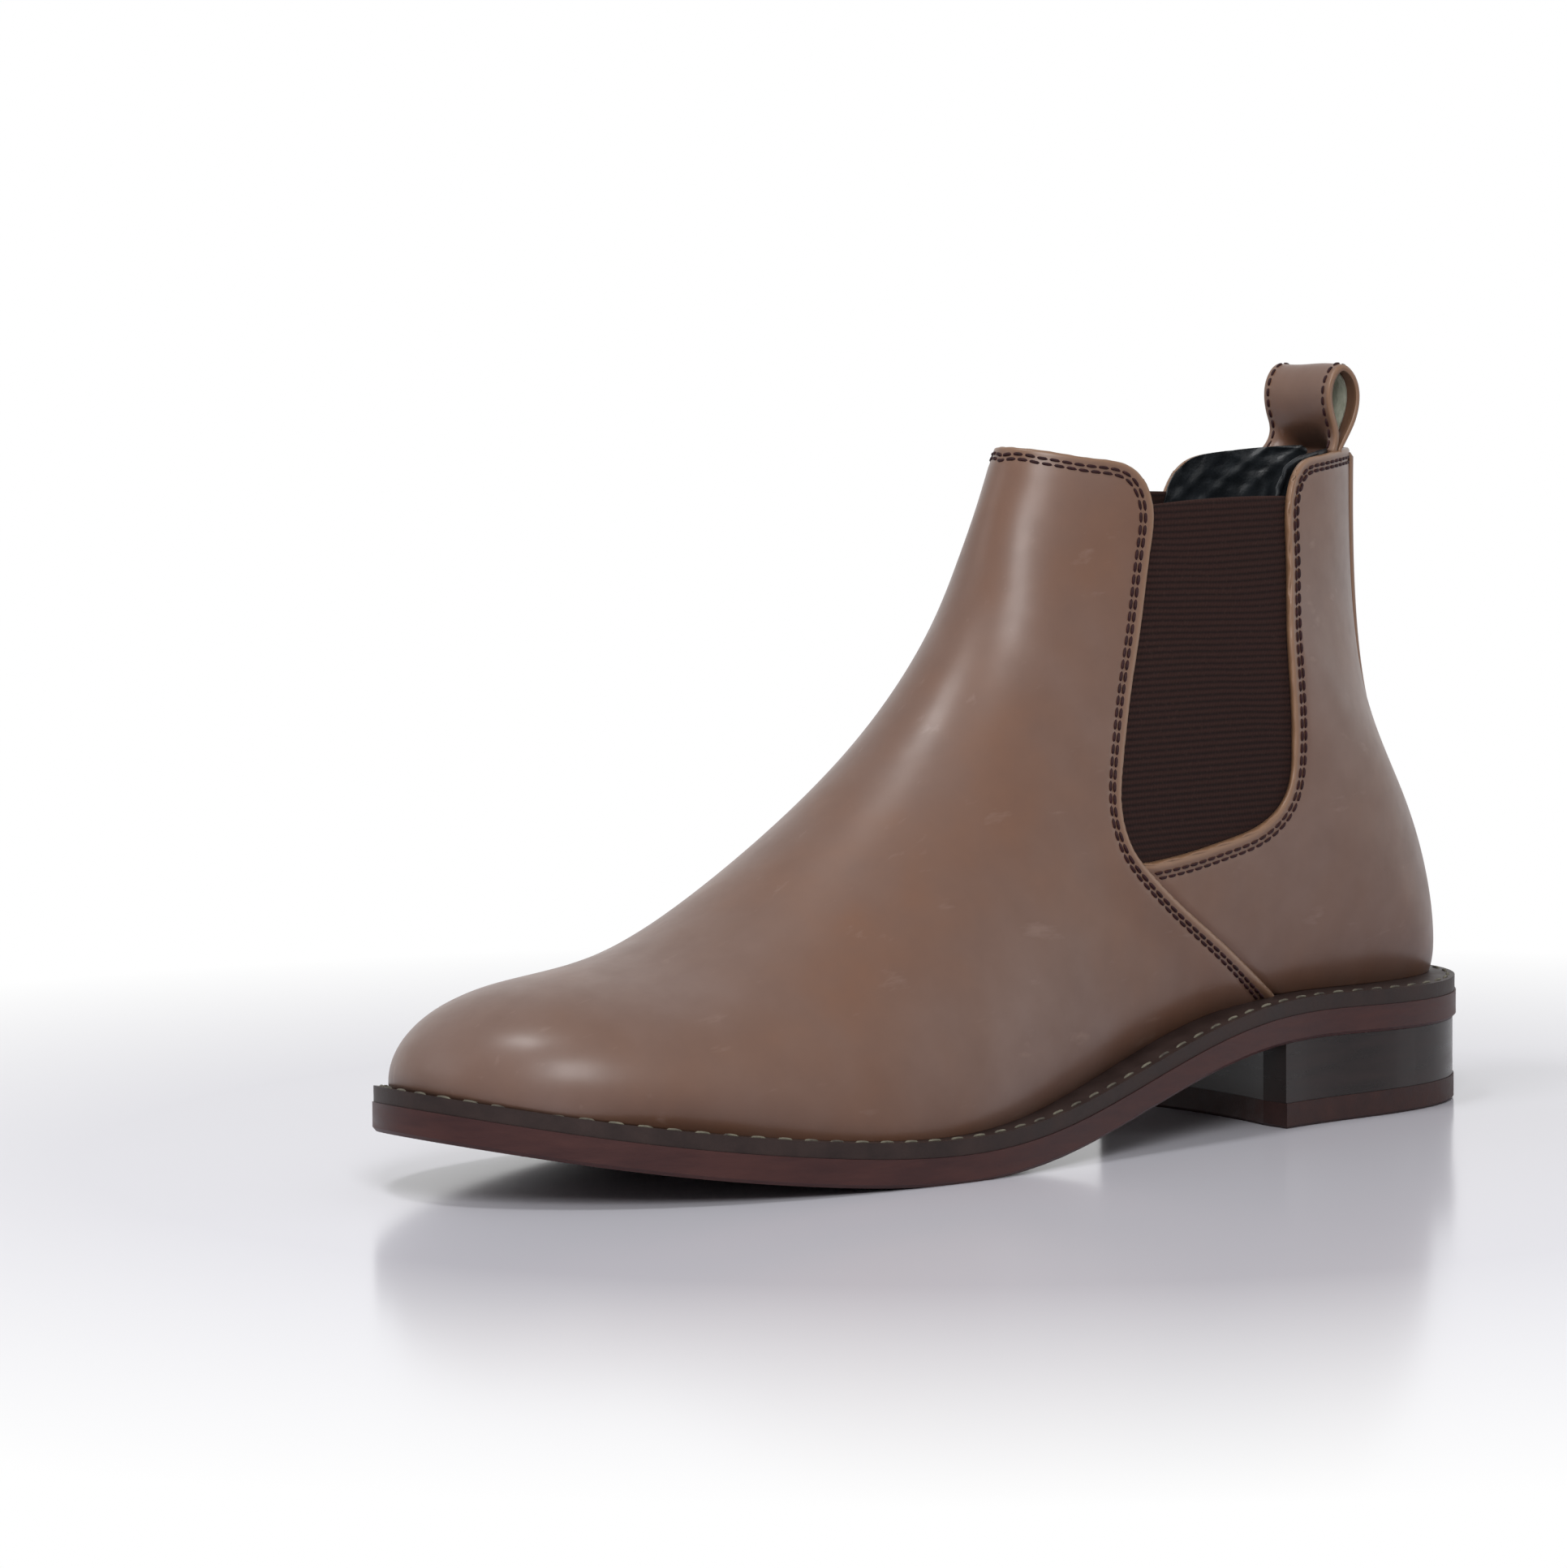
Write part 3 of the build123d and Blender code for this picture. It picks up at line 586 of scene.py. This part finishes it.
# Covered foam under the heel and the sock leather: matt black.
SOCK = plain("sock_leather_black", "#1a1817", "#2a2624", 6.0, 0.62, 0.06, 0.3)
PAD = plain("pad_cover_black", "#201e1d", "#302c2a", 4.0, 0.7, 0.08, 0.3)
# Welt strip: dark stained bridle leather with a dull edge dressing.
WELT = plain("welt_bridle_dark", "#261b19", "#352825", 7.0, 0.5, 0.08, 0.35)
# Sole leather with red brown edge ink, burnished; streaks run along the edge.
SOLE = plain("sole_leather_redbrown", "#371e1e", "#472a27", 9.0, 0.42, 0.06, 0.25, 0.0, (0.5, 0.5, 3.0))
# Stacked leather heel, inked near black and polished.
HEEL = plain("heel_stack_polished", "#170e0d", "#231716", 8.0, 0.3, 0.03, 0.12, 0.08, (0.4, 0.4, 3.0))
# Heel rubber, red brown, scuffed at its rear edge.
RUBBER = plain("heel_rubber_redbrown", "#2b1817", "#3a2421", 5.0, 0.55, 0.1, 0.35)
# Cotton twill inside the loop: pale grey green and dry.
TAPE = plain("cotton_twill_greygreen", "#a4a795", "#c4c6b6", 1.2, 0.85, 0.1, 0.5, 0.0, (1.0, 1.0, 0.5))
# Hidden stiffeners: tan fibre board.
BOARD = plain("fibre_board_tan", "#8a7358", "#a58c6c", 3.0, 0.85, 0.1, 0.3)
# Cork filler bound with latex: coarse brown grain.
CORK = plain("cork_latex", "#6b4a2c", "#94704a", 2.5, 0.85, 0.2, 0.5)
# Shank, nails and pins: plain bright steel.
STEEL = plain("steel_bright_drawn", "#8b8d90", "#a3a5a8", 3.0, 0.32, 0.02, 0.1, 0.0, None, 1.0)


# ---- pieces of the upper ----

def mirrored(places, side):
    """Chart angle on the outer (side 1) or inner (side -1) half."""
    t, a = places
    return t, a * side


def edge_depth(distance):
    """Extra depth of a rounded edge: a quarter circle of radius ROLL."""
    inside = np.clip(ROLL - distance, 0, ROLL)
    return ROLL - np.sqrt(np.maximum(ROLL ** 2 - inside ** 2, 0))


def furrow(distance):
    """Depth of the pulled-in channel under the thread rows, a bell curve over the distance from
    the edge."""
    return FURROW * np.exp(-((distance - 2.7) / 0.95) ** 2)


def close_to_one(count, last=0.012):
    """Steps from 0 to 1 that end with a few very short ones."""
    short = last * np.array([1.5, 1.0, 0.66, 0.4, 0.2, 0.08, 0])
    return np.r_[np.linspace(0, 1 - last * 2.2, count), 1 - short]


def seam_rise(points):
    """How far a point takes part in the vamp's rise over the quarter, from 1 at the seam to 0 at
    16 mm from it."""
    line = smooth(VAMP_EDGE, 400)
    place = locate(line[line[:, 1] < 66])
    seam = np.vstack([skin(place[:, 0], place[:, 1] * side) for side in (1, -1)])
    near = np.clip(1 - nearest(points, seam) / 16.0, 0, 1)
    return near ** 2 * (3 - 2 * near)


def vamp_panel(name, depth, thick, shift=0.0, fall=0.0, lift=LIFT, wrinkle=0.0, counts=(76, 150)):
    """Vamp over both sides: Coons patch of the outer half and its mirror image in a. Depth falls to
    the rounded edge and rises along the seam, where it lies on the quarter."""
    sides = vamp_sides(shift, fall)
    s = close_to_one(counts[0])
    w = close_to_one(counts[1], 0.005)
    t, a = patch(*sides, s, w)
    t = np.hstack((t[:, :0:-1], t))
    a = np.hstack((-a[:, :0:-1], a))
    base = skin(t, a)
    lines = [skin(line[:, 0], line[:, 1] * side) for line in (sides[1], sides[3]) for side in (1, -1)]
    edge = nearest(base, np.vstack(lines))
    raised = lift * seam_rise(base)
    folds = wrinkle * ripples(base)
    outer = skin(t, a, depth + edge_depth(edge) + furrow(edge) - raised + folds)
    inner = skin(t, a, depth + thick - raised * 0.9 + folds)
    return wall(name, outer, inner, {"edge": edge})


def quarter_panel(name, side, depth, thick, shift=0.0, fall=0.0, lap=LAP, wrinkle=0.0, room=0.0,
                  counts=(80, 130)):
    """One quarter: Coons patch between back seam and front edge, sunk a little under the vamp."""
    sides = quarter_sides(shift, fall, lap)
    s = close_to_one(counts[0])
    w = close_to_one(counts[1], 0.006)
    t, a = mirrored(patch(*sides, s, w), side)
    base = skin(t, a)
    free = sides[3][skin(sides[3][:, 0], sides[3][:, 1])[:, 2] > 63.0]
    lines = [skin(line[:, 0], line[:, 1] * side) for line in (sides[1], free)]
    edge = nearest(base, np.vstack(lines))
    seam_line = smooth(VAMP_EDGE, 400)
    seam_line = seam_line[seam_line[:, 1] < 64]
    behind = np.interp(base[..., 2], seam_line[::-1, 1], seam_line[::-1, 0])
    under = np.clip((base[..., 0] - behind) / 3.0 + 0.6, 0, 1) * (base[..., 2] < 66) * (lap > 0)
    folds = wrinkle * ripples(base)
    crown = room * np.clip(1 - np.abs(base[..., 1]) / 18, 0, 1) * np.clip((base[..., 2] - 140) / 16, 0, 1)
    outer = skin(t, a, depth + edge_depth(edge) + furrow(edge) + 0.7 * under + folds + crown)
    inner = skin(t, a, depth + thick + 0.7 * under + folds + crown)
    return wall(name, outer, inner, {"edge": edge})


def ripples(points):
    """Soft creases from 0 to 1: slanted waves whose phase is bent by other, longer waves, squared so
    that they stand up as ridges with flat ground between."""
    x, y, z = (points[..., i] for i in range(3))
    bent = 1.8 * np.sin(0.21 * z + 0.13 * x + 1.0) + 1.3 * np.sin(0.37 * z - 0.29 * y + 2.0)
    first = 0.5 + 0.5 * np.sin(0.62 * x + 0.35 * z + 0.4 * y + bent)
    second = 0.5 + 0.5 * np.sin(-0.48 * x + 0.55 * z + 0.5 * y + 1.4 * bent + 2.2)
    return np.maximum(first, second) ** 3


def elastic_panel(name, side):
    """Elastic: rows of equal height between the two leather edges, reaching under both, with its
    ribs as a cosine of the height and a slightly arched top."""
    front = smooth(VAMP_EDGE, 400)
    front = front[(front[:, 1] < 150) & (front[:, 1] > 66)][::-1]
    rear = np.array([(-79, 54), (-80, 76), (-80.8, 86), (-82.1, 103), (-82.6, 115), (-84.8, 134),
                     (-86.6, 150)])
    v = np.linspace(0, 1, 361)
    u = np.linspace(0, 1, 46)
    U, V = np.meshgrid(u, v)
    top = 147.0 + 0.9 * np.sin(math.pi * U)
    z = 57.0 + (top - 57.0) * V
    x0 = np.interp(z, front[:, 1], front[:, 0]) + ELASTIC_LAP
    x1 = np.interp(z, rear[:, 1], rear[:, 0]) - ELASTIC_LAP
    x = x0 + (x1 - x0) * U
    place = locate(np.c_[x.ravel(), z.ravel()])
    t = place[:, 0].reshape(x.shape)
    a = place[:, 1].reshape(x.shape) * side
    run = (z - 57.0)
    rib = 0.1 * (1 + np.cos(2 * math.pi * run / RIB))
    end = 0.45 * np.clip(1 - (top - z) / 0.8, 0, 1) ** 2
    outer = skin(t, a, ELASTIC_DEPTH + rib + end)
    inner = skin(t, a, ELASTIC_DEPTH + ELASTIC_THICK - 0.5 * rib - end)
    mesh = wall(name, outer, inner)
    across = (x0 - x1) * U
    uv = np.tile(np.stack((across, run), -1).reshape(-1, 2), (2, 1))
    layer = mesh.uv_layers.new(name="weave")
    corner = np.zeros(len(mesh.loops), np.int32)
    mesh.loops.foreach_get("vertex_index", corner)
    layer.data.foreach_set("uv", uv[corner].astype(np.float32).ravel())
    return mesh


def stitches(name, rows, pitch=2.9, radius=0.42, gap=0.12, sink=0.34):
    """Row after row of thread stitches. Each is a six-sided bead, drawn out along its row: its width
    follows a rounded profile and its ends dip into the leather by sink."""
    points, faces, start = [], [], 0
    rings, sides = 6, 6
    u = np.linspace(0, 1, rings)
    width = np.sqrt(np.clip(1 - np.abs(2 * u - 1) ** 3, 0.02, 1))
    turn = 2 * math.pi * np.arange(sides) / sides
    for line, up in rows:
        run = lengths(line)
        count = max(int(run[-1] / pitch), 1)
        step = run[-1] / count
        at = (np.arange(count)[:, None] + gap / step / 2 + u[None] * (1 - gap / step)) * step
        centre = np.stack([np.interp(at, run, line[:, i]) for i in range(3)], -1)
        normal = np.stack([np.interp(at, run, up[:, i]) for i in range(3)], -1)
        normal /= np.linalg.norm(normal, axis=-1, keepdims=True)
        tangent = np.gradient(centre, axis=1)
        tangent /= np.linalg.norm(tangent, axis=-1, keepdims=True)
        across = np.cross(tangent, normal)
        centre = centre - normal * (sink * (2 * u - 1) ** 4)[None, :, None]
        ring = np.cos(turn)[:, None] * across[:, :, None]
        ring = ring + np.sin(turn)[:, None] * normal[:, :, None] * 0.8
        body = centre[:, :, None] + ring * (radius * width)[None, :, None, None]
        index = start + np.arange(count * rings * sides).reshape(count, rings, sides)
        a, b = index[:, :-1], index[:, 1:]
        quads = np.stack((a, np.roll(a, -1, 2), np.roll(b, -1, 2), b), -1).reshape(-1, 4)
        points.append(body.reshape(-1, 3))
        faces += quads.tolist() + index[:, 0, ::-1].tolist() + index[:, -1].tolist()
        start += count * rings * sides
    return make_mesh(name, np.vstack(points), faces)


def row_on_skin(place, raise_by=-0.02, lift=0.0):
    """Chart line laid on the skin, with the way out of the leather at each point."""
    t, a = place[:, 0], place[:, 1]
    rise = lift * seam_rise(skin(t, a)) if lift else 0.0
    return skin(t, a, -raise_by - rise), skin(t, a, -1.0) - skin(t, a, 0.0)


VAMP_LINE = smooth(VAMP_EDGE, 600)
QUARTER_LINE = smooth(QUARTER_EDGE, 600)


def vamp_rows():
    """Two thread rows, each from the seam's foot up the elastic, round the topline and down the
    other side."""
    rows = []
    for distance in STITCH_ROWS:
        line = grown(VAMP_LINE, distance)
        line = line[line[:, 1] > underside(line[:, 0]) + FEATHER + 0.6]
        place = locate(line)
        place = place[place[:, 1] > 0.3]
        front = (centre_line(159.9 - distance, 0.0, 9.0), 0.0)
        mirror = place[::-1] * (1, -1)
        whole = even(np.vstack((mirror, [front], place)), 1400)
        rows.append(row_on_skin(whole, lift=LIFT))
    return rows


def quarter_rows(side):
    """Two thread rows along the quarter's topline and round the elastic."""
    rows = []
    for distance in STITCH_ROWS:
        line = grown(QUARTER_LINE, -distance)
        vamp = np.interp(line[:, 1], VAMP_LINE[::-1, 1], VAMP_LINE[::-1, 0])
        line = line[(line[:, 0] < vamp - 0.8) & (line[:, 0] > -119.5)]
        rows.append(row_on_skin(locate(line) * (1, side)))
    return rows


def back_line(z):
    """Station of the back seam at a height."""
    t = np.linspace(9.9, 13.9, 1500)
    height = skin(t, np.full(1500, math.pi))[:, 2]
    return np.interp(z, height, t)


def strip_panel(name):
    """Back strip: for each height the skin's angle is opened from the back seam until its width is
    reached; it stands proud of the leather and rolls down at its edges."""
    z = np.linspace(53.5, 154.8, 120)
    half = np.interp(z, (53.5, 56, 154.8), (2.6, 4.0, 6.4))
    v = np.sin(np.linspace(-1, 1, 33) * math.pi / 2)
    t = back_line(z)
    angle = np.linspace(0, 1.5, 300)
    T, A = np.meshgrid(t, math.pi - angle, indexing="ij")
    width = skin(T, A)[..., 1]
    reach = np.stack([np.interp(np.abs(v) * h, w, angle) for h, w in zip(half, width)])
    a = (math.pi - reach) * np.where(v >= 0, 1, -1)
    T = np.repeat(t[:, None], len(v), 1)
    side = (1 - np.abs(v)) * half[:, None]
    ends = np.minimum(z - 53.5, 154.8 - z)[:, None]
    edge = np.minimum(side, ends)
    outer = skin(T, a, -1.15 + edge_depth(edge))
    inner = skin(T, a, -0.02)
    return wall(name, outer, inner, {"edge": edge + 0.5})


LOOP_PATH = np.array([
    (1.0, -3.0), (1.0, 0.0), (2.0, 4), (3.8, 8.5), (4.5, 12.5), (3.6, 16.6), (0.3, 19.4), (-3.3, 17.2),
    (-4.8, 12.6), (-4.1, 8.5), (-2.1, 4), (-1.0, 0.0), (-1.0, -3.0)])
LOOP_HALF = 12.5
LOOP_MIDDLE = -113.6
LOOP_SKEW = 0.09            # the loop stands a little askew
topline = skin(np.full(200, centre_line(BACK_TOP, math.pi, 11.0)), math.pi - np.linspace(0, 1.4, 200), 3.2)


def loop_place(run, y, offset):
    """Point of the pull loop: a standing drop in side view, moved out by offset, whose foot follows
    the curve of the back wall and straightens with height."""
    path = smooth(LOOP_PATH, 300)
    ahead = np.gradient(path, axis=0)
    square = np.c_[ahead[:, 1], -ahead[:, 0]] / np.hypot(*ahead.T)[:, None]
    at = np.linspace(0, 1, 300)
    dx, h, nx, nz = (np.interp(run, at, c) for c in (path[:, 0], path[:, 1], square[:, 0], square[:, 1]))
    foot = np.clip(np.interp(np.abs(y), topline[:, 1], topline[:, 0]), -117.8, -110.5)
    stand = LOOP_MIDDLE + LOOP_SKEW * y
    hold = np.clip(1 - h / 7.0, 0.0, 1.0) ** 2
    x = stand + (foot - stand) * hold + dx + nx * offset
    z = BACK_TOP + h + nz * offset + 0.25 * np.sin(y / 4.0) * np.clip(h / 20, 0, 1)
    return np.stack((x, y, z), -1)


def loop_panel(name, half, low, high, outside, inside, counts=(140, 34)):
    """Band of the loop between two runs of its path and two offsets, rounded along its edges."""
    v = np.sin(np.linspace(-1, 1, counts[1]) * math.pi / 2)
    run, y = np.meshgrid(np.linspace(low, high, counts[0]), v * half, indexing="ij")
    edge = half - np.abs(y)
    round_off = edge_depth(edge * 1.1)
    outer = loop_place(run, y, outside - round_off * 0.8)
    inner = loop_place(run, y, inside)
    return wall(name, outer, inner, {"edge": edge + 0.3})


def loop_rows():
    """Thread rows near both edges of the loop, on its outside."""
    rows = []
    run = np.linspace(0.06, 0.94, 240)
    for y in (LOOP_HALF - 2.0, 2.0 - LOOP_HALF):
        at = loop_place(run, np.full(240, y), 0.85)
        up = loop_place(run, np.full(240, y), 1.85) - at
        rows.append((at, up))
    return rows


def inner_edge(x, lift, depth):
    """Reach to either side of the foot's inside at a height over the feather line."""
    place = locate(np.c_[x, underside(x) + FEATHER + lift])
    outer = skin(place[:, 0], place[:, 1], depth)[:, 1]
    inner = skin(place[:, 0], -place[:, 1], depth)[:, 1]
    return outer, inner


def footbed_panel(name, x0, x1, lift, thick, inset, oval=False, crown=0.0):
    """Flat-lying piece of the footbed: rows across the foot between the walls, with rounded ends,
    lying on the curve of the sole; crown raises its middle."""
    u = (1 - np.cos(np.linspace(0, math.pi, 150))) / 2
    x = x0 + (x1 - x0) * u
    outer, inner = inner_edge(x, lift, LINING_DEPTH + 0.9 + inset)
    if oval:
        reach = 22.0 * (1 - np.abs(2 * u - 1) ** 3) ** (1 / 3)
        outer, inner = np.minimum(outer, reach), np.maximum(inner, -reach)
    else:
        end = np.sqrt(np.clip(1 - np.clip((np.abs(2 * u - 1) - 0.93) / 0.07, 0, 1) ** 2, 0, 1))
        middle = (outer + inner) / 2
        outer = middle + (outer - middle) * end
        inner = middle + (inner - middle) * end
    v = np.linspace(0, 1, 41)
    y = inner[:, None] + (outer - inner)[:, None] * v
    ground = (underside(x) + FEATHER + lift)[:, None]
    bow = crown * (np.sin(math.pi * v) ** 0.5)[None] * np.sqrt(np.sin(math.pi * u))[:, None]
    X = np.repeat(x[:, None], len(v), 1)
    top = np.stack((X, y, ground + bow), -1)
    low = np.stack((X, y, np.broadcast_to(ground - thick, X.shape)), -1)
    return wall(name, top, low)


def closed_ring(points, count):
    """Round closed curve through the points, spaced by their distance."""
    ring = np.vstack((points[-3:], points, points[:4]))
    knots = np.r_[0, np.cumsum(np.hypot(*np.diff(ring, axis=0).T))]
    at = np.linspace(knots[3], knots[3 + len(points)], count, endpoint=False)
    return spline(knots, ring, at)


def sole_edge(inset, count=600):
    """Edge of the sole from above, moved in by inset."""
    ring = closed_ring(OUTLINE, count)
    run = np.roll(ring, -1, axis=0) - np.roll(ring, 1, axis=0)
    return ring + inset * np.c_[run[:, 1], -run[:, 0]] / np.hypot(*run.T)[:, None]


def welt_row():
    """Row of the welt's thread, on its top between the upper and the edge."""
    ring = sole_edge(2.0)
    ring = np.vstack((ring, ring[:1]))
    height = underside(np.clip(ring[:, 0], -150, 150)) + FEATHER + 0.12
    return [(np.c_[ring, height], np.tile((0.0, 0.0, 1.0), (len(ring), 1)))]


def leaning(piece):
    """Bake the placement of a piece of the back of the shaft into its mesh."""
    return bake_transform(piece)


vamp = add("vamp_leather", vamp_panel("vamp_leather", 0.0, LEATHER), CALF)
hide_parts("vamp")
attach(vamp, "foot")

vamp_inside = vamp_panel("vamp_lining_sheep", LINING_DEPTH, 0.8, 1.0, 0.4, 0.0, 0.12, (50, 100))
vamp_inside = add("vamp_lining_sheep", vamp_inside, LINING)
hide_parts("vamp_lining")
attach(vamp_inside, "foot")

for word, side in (("lateral", 1), ("medial", -1)):
    name = "quarter_leather_" + word
    piece = add(name, quarter_panel(name, side, 0.0, LEATHER), CALF)
    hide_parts("quarter_" + word, "quarter_" + word + "_upper")
    leaning(piece)
    name = "quarter_lining_sheep_" + word
    mesh = quarter_panel(name, side, LINING_DEPTH, 0.8, 1.0, 0.4, 0.0, 0.6, 1.5, (90, 150))
    piece = add(name, mesh, LINING)
    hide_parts("quarter_lining", "quarter_lining_upper")
    leaning(piece)
    name = "elastic_" + word
    piece = add(name, elastic_panel(name, side), ELASTIC)
    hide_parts("gore_" + word)
    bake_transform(piece)
    name = "quarter_stitches_" + word
    leaning(add(name, stitches(name, quarter_rows(side)), THREAD))

strip = add("back_strip_leather", strip_panel("back_strip_leather"), CALF)
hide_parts("back_strip", "back_strip_upper")
leaning(strip)
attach(add("vamp_stitches", stitches("vamp_stitches", vamp_rows()), THREAD), "foot")

loop = add("pull_loop_leather", loop_panel("pull_loop_leather", LOOP_HALF, 0, 1, 0.75, -0.75), CALF_LOOP)
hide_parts("pull_loop")
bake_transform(loop)
tape = loop_panel("pull_loop_twill", 9.5, 0.14, 0.86, -0.8, -1.4)
tape = add("pull_loop_twill", tape, TAPE)
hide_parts("pull_loop_tape")
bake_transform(tape)
loop_thread = stitches("pull_loop_stitches", loop_rows(), 2.6)
loop_thread = add("pull_loop_stitches", loop_thread, THREAD)
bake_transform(loop_thread)

sock = footbed_panel("sock_leather", -141.5, 133.0, SOCK_TOP, 1.3, 0.2)
sock = add("sock_leather", sock, SOCK)
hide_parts("sock_liner")
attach(sock, "foot")
pad = footbed_panel("heel_cushion", -139.0, -73.0, SOCK_TOP + 0.6, 0.5, 0.4, True, 2.0)
pad = add("heel_cushion", pad, PAD)
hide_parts("heel_pad")
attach(pad, "foot")
welt_stitches = add("welt_stitches", stitches("welt_stitches", welt_row(), 6.4, 0.42, 2.0, 0.5), WELT_THREAD)
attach(welt_stitches, "foot")

FINISHES = {
    "outsole": SOLE, "welt": WELT, "heel_block": HEEL, "top_lift": RUBBER, "lift_pins": STEEL,
    "heel_nails": STEEL, "shank": STEEL, "cork_filler": CORK, "insole": BOARD, "toe_puff": BOARD,
    "heel_counter": BOARD, "pull_loop_tab": CALF_LOOP}
for node, material in FINISHES.items():
    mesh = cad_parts[node].data
    mesh.materials.clear()
    mesh.materials.append(material)


# ---- floor, light and camera ----

def floor_material():
    """Glossy pale lavender floor that fades to white away from the boot, for the camera only."""
    material, tree, shader = fresh("studio_floor_gloss")
    shader.inputs["Base Color"].default_value = colour("#e6e5ee")
    shader.inputs["Roughness"].default_value = 0.16
    shader.inputs["Specular IOR Level"].default_value = 0.25
    coords = tree.nodes.new("ShaderNodeTexCoord").outputs["Object"]
    far = put(tree, "ShaderNodeVectorMath", {"operation": "LENGTH"}, Vector=coords).outputs["Value"]
    fade = spread(tree, far, 0.20, 0.42)
    seen = tree.nodes.new("ShaderNodeLightPath").outputs["Is Camera Ray"]
    factor = put(tree, "ShaderNodeMath", {"operation": "MULTIPLY"}, i0=fade, i1=seen).outputs[0]
    white = put(tree, "ShaderNodeEmission", {"Color": (1, 1, 1, 1), "Strength": 1.0})
    mix = tree.nodes.new("ShaderNodeMixShader")
    tree.links.new(factor, mix.inputs[0])
    tree.links.new(shader.outputs[0], mix.inputs[1])
    tree.links.new(white.outputs[0], mix.inputs[2])
    tree.links.new(mix.outputs[0], tree.nodes["Material Output"].inputs[0])
    return material


floor = bpy.data.objects.new("floor", make_mesh("floor", [
    (-4000, -4000, 0), (4000, -4000, 0), (4000, 4000, 0), (-4000, 4000, 0)], [(0, 1, 2, 3)]))
bpy.context.scene.collection.objects.link(floor)
floor.data.materials.append(floor_material())

world = bpy.data.worlds.new("studio")
bpy.context.scene.world = world
world.use_nodes = True
tree = world.node_tree
tree.nodes.clear()
path = tree.nodes.new("ShaderNodeLightPath")
seen = put(tree, "ShaderNodeMath", {"operation": "MAXIMUM"}, i0=path.outputs["Is Camera Ray"],
           i1=path.outputs["Is Glossy Ray"]).outputs[0]
seen = put(tree, "ShaderNodeMath", {"operation": "MAXIMUM"}, i0=seen, i1=path.outputs["Is Transmission Ray"])
strength = spread(tree, seen.outputs[0], 0, 1, 0.3, 1.0)
back = put(tree, "ShaderNodeBackground", {"Color": (1, 1, 1, 1)}, Strength=strength)
tree.links.new(back.outputs[0], tree.nodes.new("ShaderNodeOutputWorld").inputs[0])


def softbox(name, azimuth, elevation, distance, size, power):
    """Square lamp that faces the boot's middle from a direction."""
    lamp = bpy.data.lights.new(name, "AREA")
    lamp.shape = "RECTANGLE"
    lamp.size, lamp.size_y = size
    lamp.energy = power
    around, up = math.radians(azimuth), math.radians(elevation)
    away = Vector((math.cos(around) * math.cos(up), math.sin(around) * math.cos(up), math.sin(up)))
    place = bpy.data.objects.new(name, lamp)
    place.location = Vector((0, 0, 0.08)) + away * distance
    place.rotation_euler = away.to_track_quat("Z", "Y").to_euler()
    bpy.context.scene.collection.objects.link(place)
    return place


softbox("overhead", 4, 68, 1.4, (0.34, 0.24), 5)
softbox("front_high", 54, 35, 1.7, (0.5, 0.75), 13)
softbox("rear_right", 150, 15, 1.8, (0.3, 0.8), 1.2)
softbox("left_fill", -30, 25, 2.2, (1.0, 1.0), 3)

# Camera: 1.43 m in front of the boot's middle, turned 38.5 degrees from square on, looking down
# 4.9 degrees, with a long lens and a hair of roll.
TURN, PITCH, ROLL_ANGLE = math.radians(38.5), math.radians(4.89), math.radians(0.42)
ahead = np.array((-math.sin(TURN), -math.cos(TURN), 0.0))
aside = np.array((-math.cos(TURN), math.sin(TURN), 0.0))
height = np.array((0.0, 0.0, 1.0))
place = -ahead * 1.430 - aside * 0.0382 + height * 0.2055
look = ahead * math.cos(PITCH) - height * math.sin(PITCH)
up = height * math.cos(PITCH) + ahead * math.sin(PITCH)
right = math.cos(ROLL_ANGLE) * aside - math.sin(ROLL_ANGLE) * up
over = math.sin(ROLL_ANGLE) * aside + math.cos(ROLL_ANGLE) * up
lens = bpy.data.cameras.new("camera")
lens.lens = 143.6
lens.sensor_width = 36.0
camera = bpy.data.objects.new("camera", lens)
bpy.context.scene.collection.objects.link(camera)
camera.matrix_world = Matrix(np.vstack((np.c_[right, over, -look, place], (0, 0, 0, 1))).tolist())
bpy.context.scene.camera = camera
bpy.context.scene.view_settings.view_transform = "Standard"
